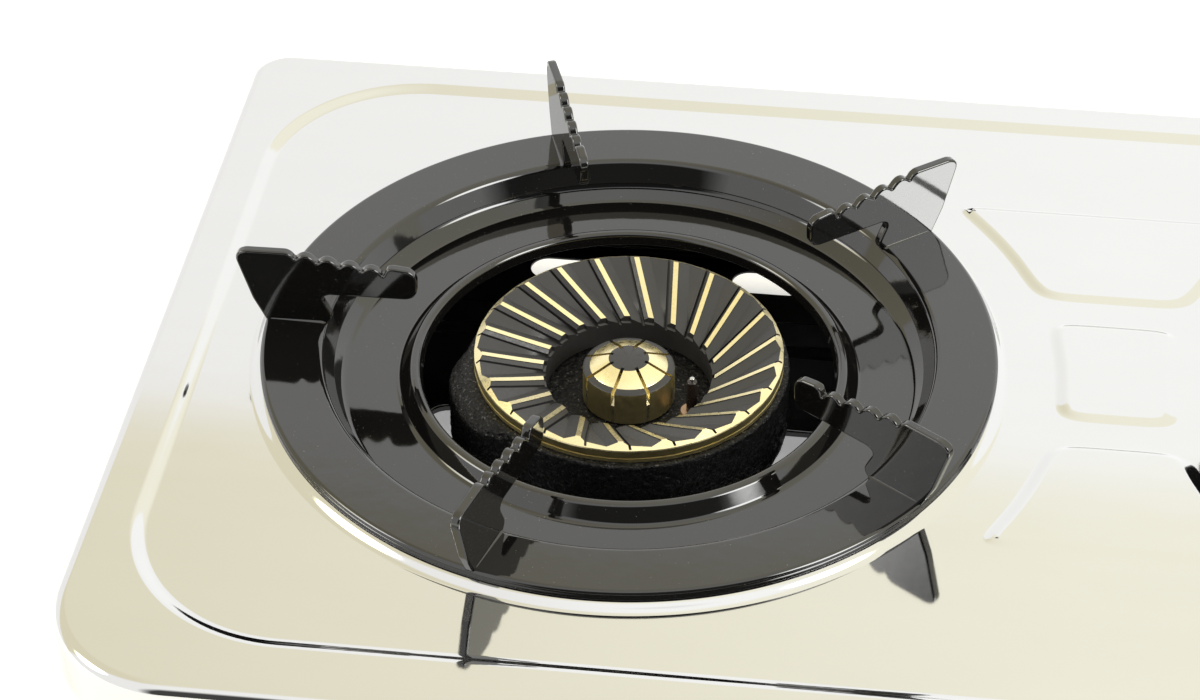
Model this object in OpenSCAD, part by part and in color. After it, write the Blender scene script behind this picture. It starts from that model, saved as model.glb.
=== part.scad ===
// Two-burner table-top gas stove with a pressed steel top.
// Frame: X along the front from left to right, Y from front to back, Z up.
// Origin: on the table, under the middle of the whole stove. Millimetres.

/* [Top plate] */
// Width of the top plate
plate_w = 710; // [700:1:730]
// Distance between the two burner axes
burner_spacing = 356; // [350:1:362]
// Distance from a burner axis to the back edge of the plate
plate_rear = 180; // [176:1:184]
// Distance from a burner axis to the front edge of the plate
plate_fore = 191; // [188:1:194]
// Height of the recessed deck above the table
deck_z = 100.5; // [99:0.5:104]
// Height of the border and of the middle panels above the deck
rise = 1.5; // [1:0.1:2]
// Depth of the folded skirt
skirt_h = 22; // [16:1:26]
// Thickness of the pressed sheets
sheet = 1; // [0.8:0.1:1.2]

/* [Pot support] */
// Outer diameter of the trivet ring
ring_d = 270; // [268:1:272]
// Height of the pot rest above the ring
prong_h = 30.6; // [28:0.1:33]
// Number of prongs on a ring
prongs = 5; // [4:1:6]
// Thickness of a prong
prong_t = 3.6; // [3:0.1:4.5]

/* [Burner] */
// Outer diameter of the outer burner cap
cap_d = 114.4; // [113:0.1:116]
// Number of flame slots in the outer cap
outer_slots = 22; // [18:1:24]
// Number of flame slots in the inner cap
inner_slots = 8; // [6:1:10]

/* [Controls] */
// Height of the knob axis above the table
knob_z = 57; // [55:0.5:59]
// Travel of a knob that is pushed in
push = 3; // [2:0.5:3.5]
// Diameter of a knob
knob_d = 44; // [40:1:48]
// Length of a knob
knob_l = 24; // [20:1:28]

/* [Base] */
// Height of the rubber feet
foot_h = 14; // [12:0.5:14]
// Outer diameter of a rubber foot
foot_d = 28; // [24:1:30]
// Outer diameter of the gas hose nipple
nipple_d = 9.5; // [9:0.1:10]

/* [Hidden] */
SIDES = [["left", -1], ["right", 1]];
SINGLES = [
    "top_plate", "front_panel", "side_panel_left", "side_panel_right", "back_panel", "base_pan",
    "gas_manifold", "pipe_stands", "hose_nipple", "foot_front_left", "foot_front_right", "foot_back_left",
    "foot_back_right", "case_screws", "foot_screws"
];
PAIRED = [
    "trivet_ring", "trivet_prongs", "drip_pan", "outer_cap", "inner_cap", "burner_body",
    "burner_bracket", "bracket_screws", "spark_pin", "spark_ceramic", "spark_lead", "piezo_unit",
    "valve_body", "valve_plug", "gas_jets", "spindle", "return_spring", "knob", "knob_bezel",
    "main_air_shutter", "inner_air_shutter"
];
$fn = 96;

// Clearances: running fit on a radius, and the gap that parts lifted by hand are given.
run = 0.05;
gap = 0.4;

// Heights above the table.
border_z = deck_z + rise;
collar_z = deck_z + 2.5;
ring_z = deck_z + 6.5;
under_z = deck_z - sheet;
pan_top_z = foot_h + sheet;

// Plate outline.
half_w = plate_w / 2;
back_r = 16;
front_r = 46;
tray_side = 17.2;
tray_back = 16;
tray_front = 23;
tray_r = 62;
hole_r = 129.5;
panel_gap = 12.5;
panel_d = 57.2;
panel_y = 105.9;
panel_clear_r = 155.8;

// The casing stands inside the plate's skirt.
wall_in = 3;
fascia_in = 7;
fascia_y = -plate_fore + fascia_in;
back_wall_y = plate_rear - wall_in;

// Burner parts, radii and heights.
ring_r = ring_d / 2;
cap_r = cap_d / 2;
cap_top_z = ring_z - 3.8;
cap_edge_z = ring_z - 5.8;
cap_seat_z = ring_z - 11;
dish_z = ring_z - 15.1;
eye_r = 30.4;
floor_z = cap_seat_z - 17;
hub_z = floor_z + 4;
tube_z = knob_z;
tube_x = 20;
mouth_y = -120;
pin_x = 24.2;
pin_y = -7.1;

// Gas train, distances in front of the burner axis.
bar_y = -146;
bar_l = 12;
valve_front_y = -168;
plug_front_y = -163.8;
plug_back_y = -142;
socket_end_y = -148;
spindle_end_y = -152;
collar_y = -178;
pipe_y = -157;
pipe_z = 36;
pipe_r = 5;
pipe_turn_x = half_w - 80;
pipe_wall = 1;
nipple_l = 23;
nut_l = 5;
bezel_t = 2.5;
knob_back_y = fascia_y - bezel_t - push - 0.8;
knob_front_y = knob_back_y - knob_l;

// The burners sit where the whole stove, knobs and nipple included, is centred on the origin.
front_reach = -knob_front_y;
back_reach = back_wall_y + nut_l + nipple_l;
burner_y = (front_reach - back_reach) / 2;

screw_x = half_w;
screw_z = border_z - 11;
screw_ys = [128, -130];
screw_r = 1.7;
foot_x = half_w - 45;
foot_front_y = -plate_fore + 48;
foot_back_y = plate_rear - 40;

// ---------- helpers ----------

module at_burner(side) {
    translate([side * burner_spacing / 2, burner_y, 0]) children();
}

// Turns a shape drawn along +Z so that it runs along +Y, starting at y.
module along_y(x, y, z) {
    translate([x, y, z]) rotate([-90, 0, 0]) children();
}

module rod_y(r, y0, y1, x = 0, z = tube_z) {
    along_y(x, y0, z) cylinder(r = r, h = y1 - y0);
}

module box_at(x0, x1, y0, y1, z0, z1) {
    translate([x0, y0, z0]) cube([x1 - x0, y1 - y0, z1 - z0]);
}

// A rectangle with one radius on its back corners and another on its front corners.
module rounded(w2, yf, yb, rf, rb) {
    translate([-w2, yf + rf]) square([2 * w2, yb - rb - yf - rf]);
    translate([-w2 + rb, yf + rf]) square([2 * (w2 - rb), yb - yf - rf]);
    translate([-w2 + rf, yf]) square([2 * (w2 - rf), yb - rb - yf]);
    for (s = [-1, 1]) {
        translate([s * (w2 - rb), yb - rb]) circle(r = rb);
        translate([s * (w2 - rf), yf + rf]) circle(r = rf);
    }
}

// The plate's outline drawn in by inset all round, and by more at the front.
module outline(inset, front_more = 0) {
    translate([0, burner_y])
        rounded(half_w - inset, -plate_fore + inset + front_more, plate_rear - inset,
                front_r - inset, back_r - inset);
}

module tray_outline(inset = 0) {
    translate([0, burner_y])
        rounded(half_w - tray_side - inset, -plate_fore + tray_front + inset,
                plate_rear - tray_back - inset, tray_r - inset, tray_r - inset);
}

// A tube of n sides swept along a list of points.
module sweep(path, r, n = 8) {
    last = len(path) - 1;
    function unit(v) = v / norm(v);
    function dir(i) = unit(path[min(i + 1, last)] - path[max(i - 1, 0)]);
    function side_of(d) = unit(cross(d, abs(d[0]) < 0.8 ? [1, 0, 0] : [0, 0, 1]));
    function carried(i) =
        i == 0 ? side_of(dir(0)) : let (s = carried(i - 1), d = dir(i)) unit(s - d * (s * d));
    rings = [
        for (i = [0 : last])
            let (d = dir(i), a = carried(i), b = cross(d, a))
            for (k = [0 : n - 1]) path[i] + r * (cos(360 * k / n) * a + sin(360 * k / n) * b)
    ];
    sides = [
        for (i = [0 : last - 1])
            for (k = [0 : n - 1])
                let (a = i * n + k, b = i * n + (k + 1) % n) [a, a + n, b + n, b]
    ];
    ends = [[for (k = [0 : n - 1]) k], [for (k = [n - 1 : -1 : 0]) last * n + k]];
    polyhedron(points = rings, faces = concat(sides, ends));
}

// A smooth curve through hand-chosen points, with steps points for each stretch.
function curve(p, steps) = concat(
    [
        for (i = [0 : len(p) - 2])
            for (k = [0 : steps - 1])
                let (
                    t = k / steps,
                    a = p[max(i - 1, 0)],
                    b = p[i],
                    c = p[i + 1],
                    d = p[min(i + 2, len(p) - 1)]
                )
                0.5 * (2 * b + (c - a) * t + (2 * a - 5 * b + 4 * c - d) * t * t
                    + (3 * b - a - 3 * c + d) * t * t * t)
    ],
    [p[len(p) - 1]]
);

// ---------- casing ----------

module middle_panels() {
    for (i = [0 : 2]) {
        back = panel_y - i * (panel_d + panel_gap);
        difference() {
            box_at(-burner_spacing / 2, burner_spacing / 2, burner_y + back - panel_d,
                   burner_y + back, deck_z - sheet, border_z);
            for (s = SIDES)
                at_burner(s[1]) translate([0, 0, deck_z - 2]) cylinder(r = panel_clear_r, h = 9);
        }
    }
}

// The raised seat round a burner opening.
module collar() {
    slope_r = ring_r + 4.5;
    rotate_extrude()
        polygon([
            [hole_r, collar_z - sheet], [hole_r, collar_z], [ring_r - 0.5, collar_z],
            [slope_r, deck_z], [slope_r, under_z], [ring_r - 1, collar_z - sheet]
        ]);
}

module top_plate() color("gainsboro") {
    translate([0, 0, border_z - sheet]) linear_extrude(sheet)
        difference() {
            outline(0);
            tray_outline(0);
        }
    difference() {
        translate([0, 0, border_z - skirt_h]) linear_extrude(skirt_h)
            difference() {
                outline(0);
                outline(sheet);
            }
        screw_holes();
    }
    translate([0, 0, under_z]) linear_extrude(border_z - under_z)
        difference() {
            tray_outline(0);
            tray_outline(2 * sheet);
        }
    difference() {
        translate([0, 0, under_z]) linear_extrude(sheet) tray_outline(sheet);
        for (s = SIDES)
            at_burner(s[1]) translate([0, 0, under_z - 1]) cylinder(r = ring_r + 4.4, h = 9);
    }
    for (s = SIDES) at_burner(s[1]) collar();
    middle_panels();
}

// The wall of the casing, one sheet thick, from the pan's underside up to the plate.
module casing_wall() {
    front_more = fascia_in - wall_in;
    translate([0, 0, foot_h]) linear_extrude(border_z - sheet - foot_h)
        difference() {
            outline(wall_in, front_more);
            outline(wall_in + sheet, front_more);
        }
}

side_from_x = half_w - 62;
side_front_y = burner_y - plate_fore + 52;

// Holes for the screws that hold the plate to the side panels.
module screw_holes() {
    for (s = [-1, 1])
        for (y = screw_ys)
            translate([s * (screw_x + 2), burner_y + y, screw_z]) rotate([0, -s * 90, 0])
                cylinder(r = screw_r + 0.1, h = 9);
}

module side_panel(side) color("silver") {
    difference() {
        intersection() {
            casing_wall();
            box_at(side > 0 ? side_from_x : -half_w, side > 0 ? half_w : -side_from_x,
                   side_front_y, burner_y + plate_rear, 0, border_z);
        }
        screw_holes();
    }
}

module front_panel() color("gainsboro") {
    difference() {
        intersection() {
            casing_wall();
            box_at(-half_w, half_w, burner_y - plate_fore, side_front_y, 0, border_z);
        }
        for (s = SIDES) at_burner(s[1]) rod_y(7, fascia_y - 2, fascia_y + 3);
    }
}

module back_panel() color("silver") {
    difference() {
        intersection() {
            casing_wall();
            box_at(-side_from_x, side_from_x, burner_y + plate_rear - 30,
                   burner_y + plate_rear, 0, border_z);
        }
        translate([0, burner_y, 0])
            rod_y(6 + run, back_wall_y - 3, back_wall_y + 3, pipe_turn_x, pipe_z);
    }
}

// Air openings of the pan: a large one under each burner and two slots behind it.
// A pressed rib crosses the pan between the opening and the slots.
slot_pitch = 87;
slot_l = 32;
slot_w = 15;
slot_y = 158;
rib_front_y = 108;
rib_back_y = 132;
rib_half_l = 125;
mouth_half_w = 88;
mouth_front_y = -62;
mouth_back_y = 62;

module slot_hole(x, y) {
    for (s = [-1, 1])
        translate([x + s * (slot_l - slot_w) / 2, y, foot_h - 1]) cylinder(d = slot_w, h = 9);
    box_at(x - (slot_l - slot_w) / 2, x + (slot_l - slot_w) / 2, y - slot_w / 2, y + slot_w / 2,
           foot_h - 1, foot_h + 8);
}

module pan_outline(inset) {
    outline(wall_in + sheet + inset, fascia_in - wall_in);
}

module base_pan() color("black") {
    rim_h = 12;
    rib_h = 3;
    rib_wall = 2;
    difference() {
        union() {
            translate([0, 0, foot_h]) linear_extrude(sheet) pan_outline(0);
            translate([0, 0, foot_h]) linear_extrude(rim_h)
                difference() {
                    pan_outline(0);
                    pan_outline(sheet);
                }
            for (s = SIDES) at_burner(s[1])
                box_at(-rib_half_l, rib_half_l, rib_front_y, rib_back_y, foot_h, pan_top_z + rib_h);
        }
        for (s = SIDES) at_burner(s[1]) {
            box_at(-rib_half_l + rib_wall, rib_half_l - rib_wall, rib_front_y + rib_wall,
                   rib_back_y - rib_wall, foot_h - 1, foot_h + rib_h);
            box_at(-mouth_half_w, mouth_half_w, mouth_front_y, mouth_back_y,
                   foot_h - 1, foot_h + 5);
            for (x = [-0.5, 0.5]) slot_hole(x * slot_pitch, slot_y);
        }
    }
}

module foot(sx, y) color("dimgray") {
    translate([sx * foot_x, burner_y + y, 0])
        difference() {
            union() {
                cylinder(d = foot_d, h = foot_h - 2);
                cylinder(d = foot_d - 5, h = foot_h);
            }
            translate([0, 0, -1]) cylinder(d = 12, h = foot_h - 3);
            cylinder(d = 4, h = foot_h + 1);
        }
}

module foot_screws() color("silver") {
    for (sx = [-1, 1])
        for (y = [foot_front_y, foot_back_y])
            translate([sx * foot_x, burner_y + y, 0]) {
                translate([0, 0, foot_h - 6.5]) cylinder(d = 8, h = 2.5);
                translate([0, 0, foot_h - 6.5]) cylinder(d = 4, h = 6.5);
            }
}

module case_screws() color("ivory") {
    shank = 6;
    for (s = [-1, 1])
        for (y = screw_ys)
            translate([s * screw_x, burner_y + y, screw_z]) rotate([0, s * 90, 0]) {
                cylinder(d = 8, h = 1.2);
                cylinder(d = 6, h = 2.4);
                translate([0, 0, -shank]) cylinder(r = screw_r, h = shank);
            }
}

// ---------- pot support ----------

// Section of the ring: a flat top, a rolled lip outside and a wall that leans in below.
module trivet_ring() color("black") {
    rotate_extrude()
        translate([0, ring_z])
            polygon([
                [ring_r, -3.7], [ring_r, -1.1], [ring_r - 0.4, -0.3], [ring_r - 1.2, 0],
                [112.4, -0.4], [110.8, -1.4], [108, -8.4], [109.6, -8.4], [112.3, -2.2],
                [113.2, -1.8], [ring_r - 1.8, -1.8], [ring_r - 1.8, -3.7]
            ]);
}

// One prong seen from the side: x is the distance from the burner axis, y the height.
module prong_outline() {
    wave_outer = 122.2;
    wave_pitch = 8.05;
    waves = 4;
    steps = 6;
    drop = 0.165;
    bite = 2.8;
    weld = 0.9;
    function crest(r) = prong_h - 0.3 - drop * (wave_outer - r);
    scallops = [
        for (i = [0 : waves * steps])
            let (
                r = wave_outer - i * wave_pitch / steps,
                lift = abs(sin(180 * i / steps))
            )
            [r, crest(r) - bite * (1 - lift)]
    ];
    polygon(concat(
        [
            [133.9, -weld], [139.2, 8.8], [144.1, 26.2], [144, 28.2], [142.8, 29.7],
            [140.5, prong_h], [125.5, prong_h], [123.6, prong_h - 1]
        ],
        scallops,
        [
            [88.5, 25.6], [86.5, 26], [80.5, 25.2], [78.3, 23.4], [77.6, 20.8], [77.9, 15.4],
            [79.4, 13.1], [82, 12.2], [110.5, 12.2], [112.7, 11.2], [113, 9.5], [109.8, 2.4],
            [110.2, 0.6], [112.6, -weld]
        ]
    ));
}

first_prong = 37;

module trivet_prongs() color("black") {
    for (i = [0 : prongs - 1])
        rotate([0, 0, first_prong + i * 360 / prongs])
            translate([0, prong_t / 2, ring_z]) rotate([90, 0, 0])
                linear_extrude(prong_t) prong_outline();
}

// The pan hangs on the collar by its flange, under the trivet ring.
module drip_pan() color("black") {
    rotate_extrude()
        polygon([
            [132.5, collar_z + 0.05], [132.5, collar_z + 1.6], [132, collar_z + 2.1],
            [114.6, collar_z + 2.1], [113.9, collar_z + 1.6], [111.2, collar_z - 5.4],
            [109, collar_z - 9.4], [106, collar_z - 11.3], [102, collar_z - 11.6],
            [83.2, collar_z - 12], [81.4, collar_z - 11.4], [79.8, collar_z - 6.8],
            [78.4, collar_z - 6], [77, collar_z - 6.8], [76.2, collar_z - 8.6], [76.2, collar_z - 10.6],
            [77.4, collar_z - 10.6], [77.6, collar_z - 8.6], [78.4, collar_z - 7.5],
            [78.8, collar_z - 7.9], [80.3, collar_z - 12.3], [82.2, collar_z - 13.5],
            [102.3, collar_z - 13.1], [106.8, collar_z - 12.7], [110.2, collar_z - 10.4],
            [112.3, collar_z - 6.2],
            [115.2, collar_z + 0.9], [131.3, collar_z + 0.9], [131.3, collar_z + 0.05]
        ]);
}

// ---------- burner ----------

rim_r = 59.5;
trough_out_r = 54.5;
trough_in_r = 36.4;
sleeve_r = 33.4;
trough_z = 66;
hub_r = 15;
hub_bore_r = 9;
hub_top_z = hub_z;
link_y = -42;
main_bore_r = 9.5;
inner_bore_r = 5.5;
bell_r = 13.5;
boss_r = 6.4;

// A mixing tube from its bell mouth to the head.
module tube_solid(x, r, end_y) {
    rod_y(bell_r, mouth_y, mouth_y + 14, x);
    rod_y(r, mouth_y, end_y, x);
    rod_y(boss_r, mouth_y - 2.2, mouth_y + 1, x);
}

module tube_bore(x, r, end_y) {
    rod_y(r, mouth_y + 3, end_y, x);
    rod_y(bell_r - 2.5, mouth_y + 3, mouth_y + 12, x);
    rod_y(4.2, mouth_y - 3, mouth_y + 4, x);
    air_holes(x, mouth_y - 1, mouth_y + 4);
}

module air_holes(x, y0, y1, turn = 0) {
    for (a = [0 : 120 : 240])
        rod_y(2.2, y0, y1, x + 9.9 * cos(90 + a + turn), tube_z + 9.9 * sin(90 + a + turn));
}

module head_solid() {
    rotate_extrude()
        polygon([
            [hub_r, trough_z - 3], [rim_r - 3, trough_z - 3], [rim_r, trough_z + 2],
            [rim_r, cap_seat_z], [trough_out_r, cap_seat_z], [trough_out_r, trough_z],
            [trough_in_r, trough_z], [trough_in_r, floor_z + 5], [sleeve_r, floor_z + 5],
            [sleeve_r, floor_z], [hub_r, floor_z], [hub_r, floor_z - 4],
            [sleeve_r, floor_z - 4], [sleeve_r, trough_z], [hub_r, trough_z]
        ]);
    translate([0, 0, tube_z - 8.5]) cylinder(r = hub_r, h = hub_top_z - tube_z + 8.5);
}

module burner_body() color("black") {
    difference() {
        union() {
            head_solid();
            tube_solid(tube_x, main_bore_r + 3, link_y + 10.5);
            tube_solid(-tube_x, inner_bore_r + 3, 0);
            along_tube_cross(inner_bore_r + 3);
            translate([tube_x, link_y, tube_z]) cylinder(r = 10.5, h = trough_z - tube_z);
        }
        translate([0, 0, tube_z - 5.5]) cylinder(r = hub_bore_r, h = 60);
        tube_bore(tube_x, main_bore_r, link_y + 7);
        tube_bore(-tube_x, inner_bore_r, 0);
        along_tube_cross(inner_bore_r);
        translate([tube_x, link_y, tube_z]) cylinder(r = 7.5, h = trough_z - tube_z + 3);
        translate([pin_x, pin_y, trough_z - 9]) cylinder(r = 3, h = 40);
    }
}

// The cross passage that leads the inner mixing tube to the hub.
module along_tube_cross(r) {
    translate([-tube_x, 0, tube_z]) rotate([0, 90, 0]) cylinder(r = r, h = tube_x);
    translate([-tube_x, 0, tube_z]) sphere(r = r);
}

// Ring cap with a dished top; straight slots set off centre make the flames swirl.
module outer_cap() color("goldenrod") {
    slot_offset = 12.5;
    slot_turn = 3.3;
    slot_half = 0.55;
    slot_from_r = 35;
    slot_to_r = 51.5;
    rim_w = 3.2;
    dish_slope = atan((cap_top_z - dish_z - 0.4) / (cap_r - rim_w - eye_r - 1));
    difference() {
        rotate_extrude()
            polygon([
                [trough_out_r - gap, cap_seat_z - 4], [trough_out_r - gap, cap_seat_z + 0.05],
                [cap_r, cap_seat_z + 0.05], [cap_r, cap_edge_z],
                [cap_r - rim_w, cap_top_z], [eye_r + 1, dish_z + 0.4], [eye_r, dish_z - 0.4],
                [eye_r, floor_z + 1], [sleeve_r - gap, floor_z + 1],
                [sleeve_r - gap, dish_z - 2.6], [52.3, cap_seat_z + 1.6],
                [52.3, cap_seat_z - 4]
            ]);
        for (i = [0 : outer_slots - 1])
            rotate([0, 0, slot_turn + i * 360 / outer_slots])
                translate([slot_offset, eye_r + 1, dish_z]) rotate([dish_slope, 0, 0])
                    box_at(-slot_half, slot_half, slot_from_r - eye_r, slot_to_r - eye_r, -5, 20);
    }
}

// Small cap: a flat top, a cone with radial slots and a plain skirt round the hub.
module inner_cap() color("gold") {
    top_z = ring_z - 9.6;
    skirt_r = 17.1;
    inner_slot_turn = 31;
    difference() {
        rotate_extrude()
            polygon([
                [0, hub_top_z + run], [hub_r + gap, hub_top_z + run],
                [hub_r + gap, hub_top_z - 3.6], [skirt_r, hub_top_z - 3.6],
                [skirt_r, ring_z - 13.5], [skirt_r - 0.5, ring_z - 12.6], [15, ring_z - 12.4],
                [14.5, ring_z - 12.6], [7.5, top_z], [0, top_z]
            ]);
        for (i = [0 : inner_slots - 1])
            rotate([0, 0, inner_slot_turn + i * 360 / inner_slots])
                box_at(8.2, skirt_r + 1, -0.6, 0.6, ring_z - 16, top_z + 1);
        translate([0, 0, hub_top_z - 1]) cylinder(r = 12.5, h = 9.5);
    }
}

module spark_pin() color("dimgray") {
    translate([pin_x, pin_y, floor_z - 2]) cylinder(r = 2, h = 19);
}

module spark_ceramic() color("peru") {
    translate([pin_x, pin_y, 0])
        difference() {
            union() {
                translate([0, 0, trough_z - 7]) cylinder(r = 2.95, h = floor_z - trough_z + 7);
                translate([0, 0, floor_z]) cylinder(r = 4, h = 1.6);
            }
            translate([0, 0, floor_z - 2]) cylinder(r = 2, h = 10);
        }
}

// Insulated wire from the spark pin, under the tubes, to the spark unit.
lead_route = [
    [24.2, -7.1, 59], [24.2, -7.3, 50], [26, -12, 40], [34, -30, 33], [40, -60, 31],
    [43, -95, 32], [45, -120, 40], [43, -138, 58], [36, -150, 72], [24, -154, 77], [9, -154, 77]
];

module spark_lead() color("firebrick") {
    sweep(curve(lead_route, 5), 1.25);
}

// Folded bridge that spans the pan's opening and carries the burner.
bracket_y = 22;
bracket_half = 9;
leg_x = 45;
bracket_reach = mouth_half_w + 12;
screw_in = 6;

module burner_bracket() color("silver") {
    strap = 1.5;
    flange = 12;
    y0 = bracket_y - bracket_half;
    y1 = bracket_y + bracket_half;
    top = trough_z - 3;
    difference() {
        union() {
            box_at(-bracket_reach, bracket_reach, y0, y1, pan_top_z, pan_top_z + strap);
            for (s = [-1, 1])
                translate([s * leg_x, 0, 0]) {
                    box_at(-strap / 2, strap / 2, y0, y1, pan_top_z, top);
                    box_at(s > 0 ? -flange : 0, s > 0 ? 0 : flange, y0, y1, top - strap, top);
                }
        }
        for (s = [-1, 1])
            translate([s * (leg_x - screw_in), bracket_y, top - 3]) cylinder(d = 4, h = 6);
    }
}

module bracket_screws() color("silver") {
    for (s = [-1, 1])
        translate([s * (leg_x - screw_in), bracket_y, trough_z - 4.5]) {
            translate([0, 0, -2.2]) cylinder(d = 7, h = 2.2);
            cylinder(d = 4, h = 1.5);
        }
}

// Disc that turns on the boss of a mixing tube and covers or opens its air holes.
module air_shutter(x) color("silver") {
    y0 = mouth_y - 1.4;
    y1 = mouth_y - 0.3;
    difference() {
        union() {
            rod_y(13, y0, y1, x);
            box_at(x - 3, x + 3, y0, y1, tube_z - 19, tube_z - 10);
        }
        rod_y(boss_r + run, y0 - 1, y1 + 1, x);
        air_holes(x, y0 - 1, y1 + 1);
    }
}

// ---------- gas train and controls ----------

module valve_body() color("tan") {
    difference() {
        union() {
            rod_y(11, valve_front_y, bar_y);
            box_at(-30, 30, bar_y, bar_y + bar_l, tube_z - 9, tube_z + 9);
            translate([0, pipe_y, pipe_z]) cylinder(r = 6, h = tube_z - pipe_z);
            box_at(-9, 9, valve_front_y + 4, bar_y, tube_z, tube_z + 12);
        }
        rod_y(6.5, plug_front_y - 0.1, plug_back_y + 0.3);
        rod_y(3.6, valve_front_y - 1, plug_front_y);
        translate([-200, pipe_y, pipe_z]) rotate([0, 90, 0]) cylinder(r = pipe_r, h = 400);
        translate([0, pipe_y, pipe_z]) cylinder(r = 2, h = tube_z - pipe_z);
        translate([-24, bar_y + 6, tube_z]) rotate([0, 90, 0]) cylinder(r = 2, h = 48);
        for (s = [-1, 1]) rod_y(2.5, bar_y + 6, bar_y + bar_l + 1, s * tube_x);
    }
}

module valve_plug() color("khaki") {
    difference() {
        rod_y(6.5 - run, plug_front_y, plug_back_y);
        rod_y(3 + run, plug_front_y - 1, socket_end_y);
    }
}

module gas_jets() color("gold") {
    for (s = [-1, 1]) {
        difference() {
            union() {
                along_y(s * tube_x, bar_y + bar_l, tube_z) cylinder(r = 5.5, h = 5, $fn = 6);
                rod_y(3, bar_y + bar_l, mouth_y + 2, s * tube_x);
            }
            rod_y(0.6, bar_y + bar_l - 1, mouth_y + 3, s * tube_x);
        }
    }
}

module piezo_unit() color("whitesmoke") {
    top = tube_z + 12;
    box_at(-9, 9, valve_front_y + 5, bar_y + bar_l, top, top + 16);
    rod_y(4, bar_y + bar_l, bar_y + bar_l + 5, 0, top + 8);
}

spring_turns = 4;
spring_r = 4.9;

module return_spring() color("silver") {
    wire = 0.45;
    y0 = collar_y + wire + 0.1;
    y1 = valve_front_y - wire - 0.1;
    steps = 16;
    n = spring_turns * steps;
    sweep([
        for (i = [0 : n])
            [spring_r * cos(360 * i / steps), y0 + (y1 - y0) * i / n,
             tube_z + spring_r * sin(360 * i / steps)]
    ], wire, 6);
}

module spindle() color("lightgray") {
    rod_y(3, knob_back_y - 12, spindle_end_y);
    rod_y(5.8, collar_y - 1.2, collar_y);
}

// Round skirt with a raised grip across it, and a line to read its position.
module knob() color("dimgray") {
    skirt = 8;
    grip_w = 12;
    difference() {
        union() {
            rod_y(knob_d / 2, knob_back_y - skirt, knob_back_y);
            intersection() {
                rod_y(knob_d / 2 - 3, knob_front_y, knob_back_y - skirt + 1);
                box_at(-grip_w / 2, grip_w / 2, knob_front_y, knob_back_y, tube_z - knob_d / 2,
                       tube_z + knob_d / 2);
            }
            rod_y(knob_d / 2 - 8, knob_front_y + 10, knob_back_y - skirt + 1);
        }
        rod_y(3, knob_back_y - 12, knob_back_y + 1);
        box_at(-0.8, 0.8, knob_front_y - 1, knob_front_y + 1, tube_z + 6, tube_z + knob_d / 2);
    }
}

module knob_bezel() color("gainsboro") {
    difference() {
        rod_y(knob_d / 2 + 5, fascia_y - bezel_t, fascia_y);
        rod_y(7, fascia_y - bezel_t - 1, fascia_y + 1);
    }
}

// The pipe's run: along the front, round a bend and back to the hose fitting.
module pipe_run(r, end) {
    bend = 16;
    x0 = -burner_spacing / 2 - 16 + end;
    y1 = back_wall_y - 9;
    translate([x0, pipe_y, 0]) rotate([0, 90, 0]) cylinder(r = r, h = pipe_turn_x - bend - x0);
    translate([pipe_turn_x - bend, pipe_y + bend, 0])
        rotate([0, 0, -90]) rotate_extrude(angle = 90) translate([bend, 0]) circle(r = r);
    along_y(pipe_turn_x, pipe_y + bend, 0) cylinder(r = r, h = y1 - pipe_y - bend);
}

module gas_manifold() color("lightgray") {
    translate([0, burner_y, pipe_z])
        difference() {
            pipe_run(pipe_r, 0);
            pipe_run(pipe_r - pipe_wall, 2);
            for (s = SIDES)
                translate([s[1] * burner_spacing / 2, pipe_y, 0]) cylinder(r = 2, h = 9);
        }
}

// Folded stands that carry the pipe on the pan.
module pipe_stands() color("silver") {
    strap = 1.2;
    half_l = 6;
    half_w = 9;
    for (x = [-60, 60, 250])
        translate([x, burner_y + pipe_y, 0])
            difference() {
                union() {
                    box_at(-half_l, half_l, -half_w, half_w, pan_top_z, pan_top_z + strap);
                    box_at(-half_l, half_l, -strap / 2, strap / 2, pan_top_z, pipe_z);
                }
                translate([-half_l - 1, 0, pipe_z]) rotate([0, 90, 0])
                    cylinder(r = pipe_r, h = 2 * half_l + 2);
            }
}

// Bulkhead fitting for the gas hose.
module hose_nipple() color("gold") {
    x = pipe_turn_x;
    translate([0, burner_y, 0])
        difference() {
            union() {
                rod_y(6, back_wall_y - 9, back_wall_y, x, pipe_z);
                along_y(x, back_wall_y, pipe_z) cylinder(r = 9, h = nut_l, $fn = 6);
                rod_y(nipple_d / 2, back_wall_y, back_wall_y + nut_l + nipple_l, x, pipe_z);
            }
            rod_y(2.8, back_wall_y - 10, back_wall_y + nut_l + nipple_l + 1, x, pipe_z);
        }
}

// ---------- drawing ----------

top_plate();
front_panel();
side_panel(-1);  // side_panel_left
side_panel(1);  // side_panel_right
back_panel();
base_pan();
gas_manifold();
pipe_stands();
hose_nipple();
foot(-1, foot_front_y);  // foot_front_left
foot(1, foot_front_y);  // foot_front_right
foot(-1, foot_back_y);  // foot_back_left
foot(1, foot_back_y);  // foot_back_right
case_screws();
foot_screws();
for (s = SIDES) at_burner(s[1]) {
    trivet_ring();
    trivet_prongs();
    drip_pan();
    outer_cap();
    inner_cap();
    burner_body();
    burner_bracket();
    bracket_screws();
    spark_pin();
    spark_ceramic();
    spark_lead();
    piezo_unit();
    valve_body();
    valve_plug();
    gas_jets();
    spindle();
    return_spring();
    knob();
    knob_bezel();
    air_shutter(tube_x);
    air_shutter(-tube_x);
}
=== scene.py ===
"""Looks of the two-burner table-top gas stove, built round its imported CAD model.

Lengths are in millimetres in the model's own frame and turn into metres when a mesh is made.
A burner's parts are drawn round the burner axis and shifted to it.
"""
import math

import bpy
import numpy as np
from mathutils import Matrix, Vector, geometry, noise


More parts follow.
